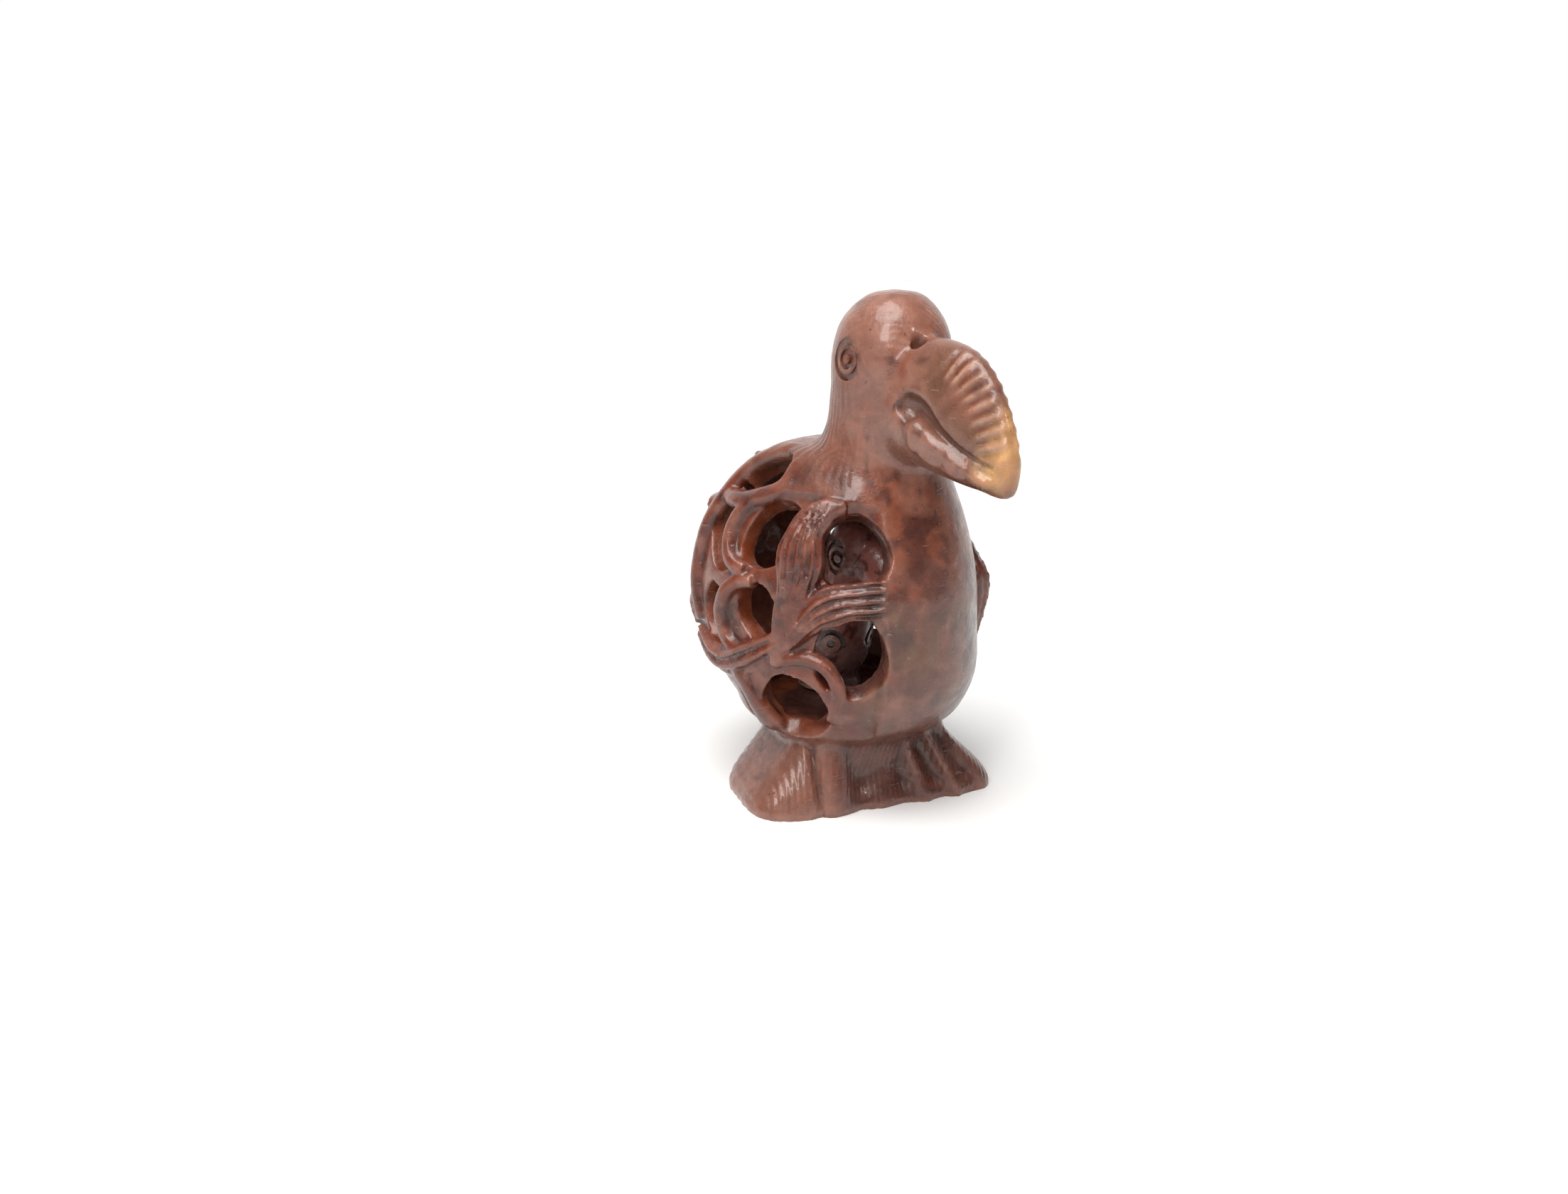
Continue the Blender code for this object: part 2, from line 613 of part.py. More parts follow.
def finish(obj, colour, roughness):
    material = bpy.data.materials.new(obj.name + " stone")
    material.use_nodes = True
    shader = material.node_tree.nodes["Principled BSDF"]
    shader.inputs["Base Color"].default_value = (*colour, 1)
    shader.inputs["Roughness"].default_value = roughness
    shader.inputs["Metallic"].default_value = 0
    obj.data.materials.clear()
    obj.data.materials.append(material)
    obj.data.shade_smooth()
    obj.data.set_sharp_from_angle(angle=CREASE)


def build_dodo():
    dodo = skins("dodo", [trunk_rings(smooth_rows(TRUNK, STEPS))])
    body = tree_of(dodo)
    combine(dodo, skins("beak", [beak_rings(smooth_rows(BEAK, STEPS))]), "UNION")
    combine(dodo, skins("base", [base_rings()]), "UNION")
    remesh(dodo, VOXEL)
    soften(dodo, 30, cheek_weight)
    outer = tree_of(dodo)
    sink_panel(dodo)
    combine(dodo, skins("hollow", [hollow_rings()]), "DIFFERENCE")
    holes = [hole_rings(*hole) for hole in SIDE_HOLES + SPINE_HOLES]
    for turn, rise, half_long, half_wide, lean in SIDE_HOLES:
        sizes = half_long * LEFT_SHRINK, half_wide * LEFT_SHRINK
        holes.append(hole_rings(-left_turn(turn), rise, *sizes, -lean))
    combine(dodo, skins("holes", holes), "DIFFERENCE", crossing=True)
    combine(dodo, skins("head cuts", head_cuts(outer)), "DIFFERENCE")
    leaves = [leaf_rings(body, *leaf, side) for leaf in SIDE_LEAVES for side in (1, -1)]
    leaves.append(leaf_rings(body, BIG_LEAF_FLUTES, RIGHT_BIG_LEAF, 1))
    leaves.append(leaf_rings(body, BIG_LEAF_FLUTES, LEFT_BIG_LEAF, -1))
    merge_into(dodo, skins("leaves", leaves))
    remesh(dodo, VOXEL)
    soften(dodo, 2)
    flute_beak(dodo)
    flatten_foot(dodo, 0)
    thin(dodo, DODO_FACES)
    flatten_foot(dodo, 0)
    eyes = []
    for side in (-1, 1):
        eyes += drill_set(surface_point(outer, *EYE, side), (side, 0, 0), EYE_DRILL)
    combine(dodo, skins("eyes", eyes, closed=True), "DIFFERENCE")
    return dodo


def build_chick():
    chick = skins("chick", [trunk_rings(smooth_rows(CHICK_TRUNK, 4))])
    combine(chick, skins("beak", [beak_rings(smooth_rows(CHICK_BEAK, 4))]), "UNION")
    remesh(chick, VOXEL)
    soften(chick, 4)
    outer = tree_of(chick)
    flatten_foot(chick, 0)
    thin(chick, CHICK_FACES)
    flatten_foot(chick, 0)
    rings, pits = [], []
    for side in (-1, 1):
        rings += drill_set(surface_point(outer, *CHICK_EYE, side), (side, 0, 0), CHICK_DRILL)
        turn, height = math.radians(CHICK_WING[0]), CHICK_WING[1] * UNIT
        axis = np.array([side * math.sin(turn), -math.cos(turn), 0])
        beside = np.array([side * math.cos(turn), math.sin(turn), 0])
        start = axis * 20 * UNIT + [0, 0, height]
        middle = np.array(outer.ray_cast(Vector(start), Vector(-axis))[0])
        rings.append(drill_rings(middle, axis, CHICK_DRILL * 0.85, RING_DEPTH, RING_CUT))
        pits.append(pit(middle, axis, RING_CUT * 0.7))
        for across, up in CHICK_DOTS:
            start = middle + axis * 8 * UNIT + (beside * across + [0, 0, up]) * UNIT
            dot = np.array(outer.ray_cast(Vector(start), Vector(-axis))[0])
            pits.append(pit(dot, axis, RING_CUT * 0.8))
    combine(chick, skins("rings", rings, closed=True), "DIFFERENCE")
    combine(chick, skins("pits", pits), "DIFFERENCE")
    points = read_points(chick)
    move_points(chick, points + [0, CHICK_BACK * UNIT, WAIST_HEIGHT + FLOOR + CHICK_GAP])
    return chick


def main():
    clear_scene()
    finish(build_dodo(), (0.30, 0.155, 0.115), 0.38)
    finish(build_chick(), (0.13, 0.075, 0.08), 0.3)


main()
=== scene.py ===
import math

import bmesh
import bpy
import numpy as np
from mathutils import Matrix, Vector
from mathutils.bvhtree import BVHTree


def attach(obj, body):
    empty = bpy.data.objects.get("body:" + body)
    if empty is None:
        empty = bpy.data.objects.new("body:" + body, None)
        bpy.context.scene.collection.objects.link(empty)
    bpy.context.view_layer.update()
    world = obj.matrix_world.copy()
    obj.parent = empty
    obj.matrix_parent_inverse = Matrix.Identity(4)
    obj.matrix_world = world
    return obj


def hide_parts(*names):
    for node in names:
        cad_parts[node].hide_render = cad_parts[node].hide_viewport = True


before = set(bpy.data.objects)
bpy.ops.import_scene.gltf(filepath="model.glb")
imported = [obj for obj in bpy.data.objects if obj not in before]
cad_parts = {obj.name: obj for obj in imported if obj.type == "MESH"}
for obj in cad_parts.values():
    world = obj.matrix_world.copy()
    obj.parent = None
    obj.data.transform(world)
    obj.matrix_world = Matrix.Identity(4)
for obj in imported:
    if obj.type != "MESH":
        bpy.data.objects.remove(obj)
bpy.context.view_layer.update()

# Sizes, as in the solids
HEIGHT = 0.0725
WALL = 0.0034
BREAST_WALL = 0.0062
FLOOR = 0.0032
BASE_WIDTH = 0.0382
BASE_DEPTH = 0.0208
BASE_LIP = 0.0008
BASE_TWIST = math.radians(-12)
BREAST_TAPER = (6, 19)  # turns, in degrees, between which the breast's wall thins
PANEL_RECESS = 0.0008
CHICK_GAP = 0.0003
EYE_DRILL = 0.0028
CHICK_DRILL = 0.0027
RING_CUT = 0.0009
RING_DEPTH = 0.00042
NOSTRIL_DRILL = 0.0011
UNIT = HEIGHT / 72.5

# How finely the stone is worked
ROUGH_VOXEL = 0.00045
FINE_VOXEL = 0.00027
CHICK_VOXEL = 0.00022
DODO_FACES = 185000
CHICK_FACES = 40000
RING_POINTS = 96
BASE_POINTS = 240
DRILL_POINTS = 40
STEPS = 8
CREASE = math.radians(50)

# Stations up the trunk: how far the back and the front reach ahead of the origin and how
# high each lies, half the width, and how far the widest place sits ahead of the middle.
TRUNK = (
    (-9.0, 5.0, 7.5, 5.0, 11.2, 0.0),
    (-11.4, 10.2, 9.2, 9.6, 13.0, 0.0),
    (-17.6, 13.6, 13.2, 13.0, 16.8, -0.02),
    (-24.8, 19.5, 16.4, 18.8, 19.4, -0.06),
    (-29.2, 26.5, 17.0, 26.0, 19.9, -0.1),
    (-30.2, 33.0, 17.0, 32.5, 19.6, -0.1),
    (-27.4, 40.6, 15.4, 39.5, 17.8, -0.1),
    (-20.4, 47.6, 13.6, 45.4, 14.4, -0.1),
    (-12.0, 51.2, 12.6, 49.2, 11.2, -0.1),
    (-5.4, 52.0, 12.4, 52.2, 9.0, 0.0),
    (-2.9, 54.3, 12.7, 56.0, 8.2, 0.0),
    (-2.3, 59.3, 13.6, 59.5, 8.0, 0.0),
    (-2.4, 64.0, 14.4, 63.5, 8.0, 0.0),
    (-0.9, 68.5, 13.2, 68.3, 6.9, 0.0),
    (2.6, 71.7, 10.2, 71.7, 3.9, 0.0),
    (6.0, 72.5, 6.8, 72.5, 0.4, 0.0),
)
HOLLOW_STATIONS = slice(1, 9)

# Stations along the beak: the ridge's reach and height, the underside's reach and height,
# half the width, and how much narrower the ridge is than the middle.
BEAK = (
    (7.5, 67.5, 8.0, 52.0, 5.5, 0.30),
    (14.0, 66.7, 12.0, 50.5, 6.6, 0.35),
    (18.6, 66.3, 16.4, 49.7, 5.9, 0.42),
    (23.1, 65.0, 20.4, 49.0, 4.9, 0.45),
    (27.0, 61.8, 23.6, 48.5, 3.9, 0.45),
    (29.8, 57.2, 26.4, 48.1, 2.9, 0.40),
    (31.0, 53.0, 28.6, 47.7, 2.0, 0.30),
    (30.9, 49.5, 30.0, 47.7, 1.0, 0.20),
)

# The chick's trunk and beak in the same form, from its own foot
CHICK_TRUNK = (
    (-5.6, 0.0, 4.2, 0.0, 5.0, 0.0),
    (-5.0, 1.8, 3.6, 1.8, 4.6, 0.0),
    (-7.0, 4.2, 5.0, 4.2, 5.8, 0.0),
    (-8.0, 8.0, 6.4, 8.0, 6.4, 0.0),
    (-7.2, 12.0, 6.8, 11.6, 6.0, 0.0),
    (-3.2, 15.2, 6.8, 14.6, 4.8, 0.0),
    (1.0, 17.0, 8.6, 17.0, 4.2, 0.0),
    (1.8, 20.0, 10.8, 20.0, 4.8, 0.0),
    (2.4, 23.0, 11.6, 23.0, 4.8, 0.0),
    (4.0, 26.0, 10.6, 25.8, 3.4, 0.0),
    (6.8, 27.0, 7.6, 27.0, 0.4, 0.0),
)
CHICK_BEAK = (
    (7.0, 25.0, 7.0, 18.5, 3.2, 0.30),
    (11.0, 24.8, 10.5, 17.6, 3.6, 0.35),
    (13.6, 23.0, 12.6, 16.6, 3.0, 0.42),
    (15.6, 20.4, 14.4, 15.6, 2.2, 0.42),
    (16.8, 17.4, 15.8, 14.6, 1.4, 0.35),
    (17.0, 15.0, 16.4, 14.0, 0.7, 0.20),
)
CHICK_BACK = 7.5
CHICK_EYE = (7.9, 21.4)
CHICK_WING = (36, 7.9)
CHICK_DOTS = ((2.9, -2.1), (1.9, -4.1))

# Base: its narrowest place under the belly
WAIST_HEIGHT = 10.4 * UNIT
WAIST_WIDTH = 23.5 * UNIT
WAIST_DEPTH = 19.5 * UNIT
WAIST_BACK = 1.4 * UNIT
BASE_CORNER = 4.4

# Toes across the front of the base: left and right edge at the foot, the same under the
# belly, and how far the stone stands out between them.
TOES_WIDTH = 38.2 * UNIT
TOES = (
    (-10.9, -9.3, -10.9, -9.3, -1.5),
    (-9.3, -5.8, -9.3, -5.7, 0.6),
    (-5.8, -0.7, -5.7, -1.2, -2.2),
    (-0.7, 6.7, -1.2, 3.5, -2.6),
    (6.7, 11.7, 3.5, 7.2, -2.2),
    (11.7, 16.5, 7.2, 10.5, -1.6),
)

# The left side is set out like the right, with its breast edge further round
RIGHT_TURNS = (0, 18, 150, 180)
LEFT_TURNS = (0, 44, 150, 180)

# The middle of the torso. A turn of 0 degrees looks at the breast and 90 at the bird's side;
# a rise of 90 degrees points up.
TORSO_REACH, TORSO_HEIGHT = -6.0, 31.5

# Holes of one side: turn and rise of the middle, half length and half width in degrees, and
# the lean of the length from level.
SIDE_HOLES = (
    (29.8, 19.8, 15.0, 12.8, 75),
    (30.6, -17.8, 15.4, 12.6, 90),
    (68.5, 26.5, 17.6, 12.8, -43),
    (102.0, 21.5, 15.6, 12.0, 57),
    (71.5, -7.6, 14.4, 10.8, 59),
    (99.5, -12.5, 13.8, 10.4, 48),
    (54.0, -39.5, 12.6, 11.4, 15),
    (80.0, -42.0, 6.6, 4.6, -64),
    (87.5, 51.0, 13.8, 8.6, -29),
    (110.0, 44.0, 3.8, 2.6, 30),
    (138.0, 9.0, 13.0, 10.0, 90),
    (143.0, 38.0, 9.0, 8.0, 0),
    (118.0, -34.0, 8.5, 6.0, 20),
    (150.0, -30.0, 8.5, 6.5, 0),
)
SPINE_HOLES = ((180.0, 31.0, 7.0, 7.0, 0),)
LEFT_SHRINK = 0.88  # the left side's holes are this much smaller
HOLE_REACH = (8 * UNIT, 36 * UNIT)

# The panel that the openwork is cut in: where its breast and shoulder edges lie
PANEL_FRONT = (17.5, 20)
PANEL_FOOT = (-50, -44)
PANEL_TOP_TURNS = (18, 30, 45, 67, 90, 120, 180)
PANEL_TOP_RISES = (33, 35, 40, 42, 38, 56, 60)
PANEL_TOP_EDGE = 2.5

# Leaves and stems of one side: the number of flutes, then stations along it with turn,
# rise, half width and how far it stands above the smooth body, in units.
RIGHT_BIG_LEAF = (
    (60, -24, 1.3, -0.1), (57, -13, 1.8, 0.2), (53, 0, 2.5, 0.8), (51, 11, 3.0, 1.4),
    (50, 22, 3.0, 1.8), (47, 30, 2.5, 1.7), (40, 35, 1.8, 1.3), (32, 36, 1.0, 0.7),
)
LEFT_BIG_LEAF = (
    (40, -38, 1.3, -0.3), (37, -28, 1.8, 0.2), (35, -18, 2.6, 1.3), (34, -8, 3.2, 2.1),
    (33, 1, 3.0, 2.0), (32, 9, 2.4, 0.8), (30, 18, 1.6, -0.2), (26, 27, 1.0, -0.5),
)
BIG_LEAF_FLUTES = 6
SIDE_LEAVES = (
    (4, ((57, -19, 0.9, 0.0), (49, -9, 1.8, 0.5), (42, -2, 2.5, 0.7), (34, 1.5, 2.7, 0.4),
         (26, 2.5, 2.6, 0.0), (18, 3, 2.4, -0.4))),
    (0, ((62, -24.5, 1.0, 0.0), (51, -21.5, 1.0, 0.1), (43, -21.5, 1.0, 0.1), (37, -25, 1.0, 0.0),
         (34, -32, 1.1, -0.2), (36, -42, 1.2, -0.6))),
    (0, ((88, -27, 1.3, 0.1), (79, -34, 1.4, 0.3), (73, -42, 1.5, 0.4), (69, -49, 1.8, 0.4),
         (68, -53, 1.2, 0.0))),
    (2, ((118, -23, 1.6, 0.2), (104, -28, 1.9, 0.3), (90, -29, 2.0, 0.4), (76, -25, 2.0, 0.5),
         (64, -19, 1.8, 0.4), (54, -13, 1.2, 0.2))),
    (0, ((76, 41, 0.9, 0.2), (86, 38, 1.0, 0.5), (92, 31, 1.1, 0.7), (93, 21, 1.1, 0.8),
         (89, 13, 1.2, 0.7), (80, 9.5, 1.2, 0.4))),
    (0, ((75, 6, 1.0, 0.1), (84, 4, 1.2, 0.5), (90, -2, 1.3, 0.8), (92, -12, 1.3, 0.8),
         (88, -21, 1.2, 0.5), (79, -24, 1.1, 0.2))),
    (0, ((66, 63, 1.2, 0.0), (88, 63, 1.5, 0.5), (106, 57, 1.6, 0.5), (115, 48, 1.6, 0.5),
         (119, 34, 1.7, 0.5), (121, 16, 1.7, 0.5), (121, -2, 1.7, 0.4), (117, -18, 1.5, 0.2))),
    (0, ((62, 47, 1.2, 0.2), (80, 41.5, 1.4, 0.5), (98, 37.5, 1.4, 0.5), (114, 37, 1.2, 0.2))),
    (4, ((166, -48, 1.2, 0.0), (164, -36, 1.8, 0.4), (160, -20, 2.4, 0.7), (157, -4, 2.6, 0.9),
         (158, 12, 2.4, 0.8), (152, 23, 1.8, 0.5), (138, 26, 1.2, 0.2))),
    (2, ((122, -20, 1.2, 0.1), (132, -13, 1.6, 0.4), (146, -12, 1.7, 0.4), (158, -14, 1.3, 0.2))),
    (2, ((162, 16, 1.2, 0.2), (164, 30, 1.7, 0.5), (162, 44, 1.6, 0.4), (142, 54, 1.2, 0.1))),
)
LEAF_ROOT = 2.2 * UNIT
FLUTE_DEPTH = 0.62 * UNIT

# Head
EYE = (6.5, 63.6)
NOSTRIL_TOP = (2.3, 15.0, 69.0)
NOSTRIL_END = (1.8, 14.0, 64.6)
MOUTH = (
    (14.2, 58.8, 0.7, 0.4),
    (15.1, 58.4, 1.5, 0.3),
    (16.8, 57.7, 1.9, 0.2),
    (18.8, 56.7, 1.4, 0.3),
    (21.0, 55.4, 0.75, 0.2),
    (24.0, 53.6, 0.5, 0.1),
    (27.0, 52.2, 0.4, 0.1),
    (29.2, 51.4, 0.3, 0.1),
)
BEAK_FLUTES = 14
BEAK_FLUTE_DEPTH = 0.30 * UNIT
BEAK_FLUTE_BAND = 3.8 * UNIT

# Colours of the stone
MAUVE = (0.240, 0.100, 0.068)
PINK = (0.380, 0.175, 0.125)
RUST = (0.170, 0.034, 0.014)
ORANGE = (0.290, 0.068, 0.020)
OLIVE = (0.150, 0.072, 0.036)
CREAM = (0.74, 0.43, 0.17)
PALE = (0.62, 0.37, 0.25)
MAROON = (0.060, 0.013, 0.010)
# dark colour for painted shade in creases
CREASE_SHADE = (0.040, 0.016, 0.013)
CHICK_GREY = (0.36, 0.21, 0.19)
CHICK_RED = (0.34, 0.095, 0.07)


def smooth_rows(rows, steps):
    """Rows of numbers through the stations, evenly filled in by a Catmull-Rom curve."""
    rows = np.array(rows, float)
    ends = np.vstack([2 * rows[0] - rows[1], rows, 2 * rows[-1] - rows[-2]])
    filled = []
    for before, first, last, after in zip(ends, ends[1:], ends[2:], ends[3:]):
        for t in np.arange(steps) / steps:
            curve = 2 * first + (last - before) * t
            curve = curve + (2 * before - 5 * first + 4 * last - after) * t**2
            curve = curve + (3 * first - before - 3 * last + after) * t**3
            filled.append(curve / 2)
    return np.array(filled + [rows[-1]])


def ease(low, high, value):
    """0 below low, 1 above high, and a smooth step between."""
    t = np.clip((value - low) / (high - low), 0, 1)
    return t * t * (3 - 2 * t)


def turns(points):
    return np.arange(points) * (2 * np.pi / points)


def power(values, exponent):
    return np.sign(values) * np.abs(values) ** exponent


def add_object(name, points, faces):
    mesh = bpy.data.meshes.new(name)
    mesh.from_pydata([tuple(p) for p in points], [], faces)
    obj = bpy.data.objects.new(name, mesh)
    bpy.context.scene.collection.objects.link(obj)
    face_out(obj)
    return obj


def face_out(obj):
    mesh = bmesh.new()
    mesh.from_mesh(obj.data)
    bmesh.ops.recalc_face_normals(mesh, faces=mesh.faces)
    mesh.to_mesh(obj.data)
    mesh.free()


def tube_faces(rows, points, first=0, closed=False):
    """Faces over rows of points, with a cap at each end unless the rows close in a loop."""
    faces = []
    for i in range(rows if closed else rows - 1):
        for j in range(points):
            k = (j + 1) % points
            low, high = first + i * points, first + (i + 1) % rows * points
            faces.append((low + j, low + k, high + k, high + j))
    if not closed:
        faces.append(tuple(first + j for j in reversed(range(points))))
        faces.append(tuple(first + (rows - 1) * points + j for j in range(points)))
    return faces


def skins(name, tubes, closed=False):
    """One object from several closed tubes, each a list of rings."""
    points, faces = [], []
    for rings in tubes:
        rings = np.array(rings)
        faces += tube_faces(len(rings), rings.shape[1], len(points), closed)
        points += list(rings.reshape(-1, 3))
    return add_object(name, points, faces)


def trunk_rings(rows):
    """Egg-shaped rings, each through a back point and a front point."""
    a = turns(RING_POINTS)
    rings = []
    for back_reach, back_z, front_reach, front_z, half_width, ahead in rows:
        along = np.cos(a) + ahead * np.sin(a) ** 2
        reach = (front_reach + back_reach) / 2 + (front_reach - back_reach) / 2 * along
        height = (front_z + back_z) / 2 + (front_z - back_z) / 2 * along
        rings.append(np.stack([half_width * np.sin(a), -reach, height], -1) * UNIT)
    return np.array(rings)


def beak_rings(rows):
    """Wedge-shaped rings, narrower at the ridge than in the middle."""
    a = turns(RING_POINTS)
    up, out = power(np.cos(a), 0.8), power(np.sin(a), 0.8)
    rings = []
    for top_reach, top_z, low_reach, low_z, half_width, pinch in rows:
        reach = (top_reach + low_reach) / 2 + (top_reach - low_reach) / 2 * up
        height = (top_z + low_z) / 2 + (top_z - low_z) / 2 * up
        width = half_width * (1 - pinch * (up + 1) / 2) * out
        rings.append(np.stack([width, -reach, height], -1) * UNIT)
    return np.array(rings)


def base_rings():
    """Rounded oblongs from the foot to the waist, with the toes in their front."""
    a = turns(BASE_POINTS)
    heights = [0, BASE_LIP] + [BASE_LIP + (WAIST_HEIGHT - BASE_LIP) * i / 12 for i in range(1, 13)]
    rings = []
    for z in heights:
        h = max(0, (z - BASE_LIP) / (WAIST_HEIGHT - BASE_LIP))
        share = 0.7 * ease(0, 1, h) + 0.3 * h
        width = BASE_WIDTH + (WAIST_WIDTH - BASE_WIDTH) * share
        depth = BASE_DEPTH + (WAIST_DEPTH - BASE_DEPTH) * share
        x = power(np.sin(a), 2 / BASE_CORNER) * width / 2
        y = -power(np.cos(a), 2 / BASE_CORNER) * depth / 2
        front = ease(0.55, 0.9, -y / (depth / 2))
        for left, right, top_left, top_right, out in TOES:
            start = (left + (top_left - left) * h) * UNIT * BASE_WIDTH / TOES_WIDTH
            stop = (right + (top_right - right) * h) * UNIT * BASE_WIDTH / TOES_WIDTH
            across = np.clip((x - start) / (stop - start), 0, 1)
            y = y - front * out * (0.45 + 0.55 * ease(0, 0.3, h)) * UNIT * np.sin(np.pi * across)
        c, s = math.cos(BASE_TWIST), math.sin(BASE_TWIST)
        ring = np.stack([x * c - y * s, x * s + y * c, np.full_like(x, z)], -1)
        rings.append(ring + [0, WAIST_BACK * share, 0])
    return np.array(rings)


def torso_middle():
    return np.array([0, -TORSO_REACH, TORSO_HEIGHT]) * UNIT


def direction(turn, rise):
    """Unit vector from the torso's middle, and the level and upright vectors square to it."""
    t, r = np.radians(turn), np.radians(rise)
    out = np.array([-np.sin(t) * np.cos(r), -np.cos(t) * np.cos(r), np.sin(r)])
    level = np.array([-np.cos(t), np.sin(t), 0 * t])
    upright = np.array([np.sin(t) * np.sin(r), np.cos(t) * np.sin(r), np.cos(r)])
    return out, level, upright


def left_turn(turn):
    """Where a turn of the right side comes on the left, which has the broader breast."""
    return np.interp(turn, RIGHT_TURNS, LEFT_TURNS)


def same_turn(turn):
    """The right side's turn for a signed turn, which is negative on the left."""
    return np.where(turn < 0, np.interp(-turn, LEFT_TURNS, RIGHT_TURNS), turn)


def hollow_rings():
    """The trunk's own rings moved inwards by the wall, with a flat floor."""
    rings = trunk_rings(smooth_rows(TRUNK[HOLLOW_STATIONS], STEPS))
    up = np.gradient(rings, axis=0)
    round_it = np.roll(rings, -1, 1) - np.roll(rings, 1, 1)
    inwards = np.cross(up, round_it)
    inwards /= np.linalg.norm(inwards, axis=2, keepdims=True)
    middle = rings.mean(1, keepdims=True)
    inwards *= np.sign((inwards * (middle - rings)).sum(2, keepdims=True))
    turn = np.degrees(np.arctan2(-rings[..., 0], -(rings[..., 1] - torso_middle()[1])))
    breast = 1 - ease(*BREAST_TAPER, same_turn(turn))
    wall = WALL + (BREAST_WALL - WALL) * breast
    rings = rings + inwards * wall[..., None]
    floor = WAIST_HEIGHT + FLOOR
    rings = [ring for ring in rings if ring[:, 2].min() > floor + WALL / 4]
    foot = rings[0].copy()
    foot[:, 2] = floor
    return np.array([foot] + rings)


def hole_rings(turn, rise, half_long, half_wide, lean, points=40):
    """A cone from inside the hollow to well outside, with an uneven oval outline."""
    out, level, upright = direction(turn, rise)
    a = turns(points)
    c, s = math.cos(math.radians(lean)), math.sin(math.radians(lean))
    uneven = 1 + 0.045 * np.sin(2 * a + turn) + 0.035 * np.sin(3 * a + rise) + 0.02 * np.sin(5 * a + turn)
    long = np.tan(np.radians(half_long)) * np.cos(a) * uneven
    wide = np.tan(np.radians(half_wide)) * np.sin(a) * uneven
    x, y = long * c - wide * s, long * s + wide * c
    ray = out + x[:, None] * level + y[:, None] * upright
    ray /= np.linalg.norm(ray, axis=1, keepdims=True)
    return np.array([torso_middle() + ray * reach for reach in HOLE_REACH])


def leaf_rings(body, flutes, stations, side):
    """A ridged ribbon laid on the body, each station with turn, rise, half width and height."""
    rows = smooth_rows(stations, 10)
    turn = rows[:, 0] if side == 1 else -left_turn(rows[:, 0])
    out, level, upright = direction(turn, rows[:, 1])
    out = out.T
    middle = torso_middle()
    smooth = []
    for ray in out:
        hit = body.ray_cast(Vector(middle), Vector(ray))
        smooth.append(np.array(hit[0]))
    smooth = np.array(smooth)
    along = np.gradient(smooth, axis=0)
    across = np.cross(along, out)
    across /= np.linalg.norm(across, axis=1, keepdims=True)
    a = turns(72)
    x = power(np.cos(a), 0.8)
    z = power(np.sin(a), 0.8)
    ridge = np.abs(np.cos(np.pi * flutes / 2 * (x + 1))) * 2 - 1 if flutes else 0 * x
    ridge = ridge * (z > 0) * FLUTE_DEPTH
    rings = []
    for i, (point, n, t, row) in enumerate(zip(smooth, out, across, rows)):
        half_width, height = row[2], row[3]
        wavy = 1 + 0.06 * math.sin(i * 0.3 + stations[0][0]) if flutes else 1
        thick = (height * UNIT + LEAF_ROOT) / 2
        lift = (height * UNIT - LEAF_ROOT) / 2
        up = lift + z * thick + ridge * min(1, half_width / 2)
        rings.append(point + t * (x * half_width * wavy * UNIT)[:, None] + n * up[:, None])
    return np.array(rings)


def worm_rings(points, radii, count=24):
    """A round tube of changing thickness along a run of points."""
    along = np.gradient(points, axis=0)
    along /= np.linalg.norm(along, axis=1, keepdims=True)
    side = np.cross(along, [0, 0, 1.0])
    side /= np.linalg.norm(side, axis=1, keepdims=True)
    up = np.cross(side, along)
    a = turns(count)
    rings = []
    for p, r, s, u in zip(points, radii, side, up):
        rings.append(p + r * (np.cos(a)[:, None] * s + np.sin(a)[:, None] * u))
    return np.array(rings)


def drill_rings(centre, axis, radius, depth, cut):
    """The groove that a tube drill leaves, as the ring-shaped body that it removes."""
    axis = np.array(axis) / np.linalg.norm(axis)
    side = np.cross(axis, [0, 0, 1.0])
    side /= np.linalg.norm(side)
    up = np.cross(side, axis)
    rings = []
    for a in turns(DRILL_POINTS):
        ray = math.cos(a) * side + math.sin(a) * up
        corners = ((radius, 1), (radius - cut * 0.1, -4), (radius - cut * 0.9, -4), (radius - cut, 1))
        rings.append([centre + ray * r - axis * d * depth for r, d in corners])
    return np.array(rings)


def settle(obj):
    """Puts what the modifiers make in the place of the object's mesh."""
    graph = bpy.context.evaluated_depsgraph_get()
    mesh = bpy.data.meshes.new_from_object(obj.evaluated_get(graph))
    obj.modifiers.clear()
    obj.data = mesh


def combine(obj, tool, operation, crossing=False):
    modifier = obj.modifiers.new(operation, "BOOLEAN")
    modifier.operation = operation
    modifier.object = tool
    modifier.use_self = crossing
    settle(obj)
    bpy.data.objects.remove(tool)


def remesh(obj, voxel):
    modifier = obj.modifiers.new("even", "REMESH")
    modifier.mode = "VOXEL"
    modifier.voxel_size = voxel
    settle(obj)


def merge_into(obj, other):
    """Puts a second object's mesh beside the first one's, in one mesh."""
    mesh = bmesh.new()
    mesh.from_mesh(obj.data)
    mesh.from_mesh(other.data)
    mesh.to_mesh(obj.data)
    mesh.free()
    bpy.data.objects.remove(other)


def read_points(obj):
    flat = np.empty(len(obj.data.vertices) * 3)
    obj.data.vertices.foreach_get("co", flat)
    return flat.reshape(-1, 3)


def move_points(obj, points):
    obj.data.vertices.foreach_set("co", points.ravel())
    obj.data.update()


def read_normals(obj):
    flat = np.empty(len(obj.data.vertices) * 3)
    obj.data.vertex_normals.foreach_get("vector", flat)
    return flat.reshape(-1, 3)


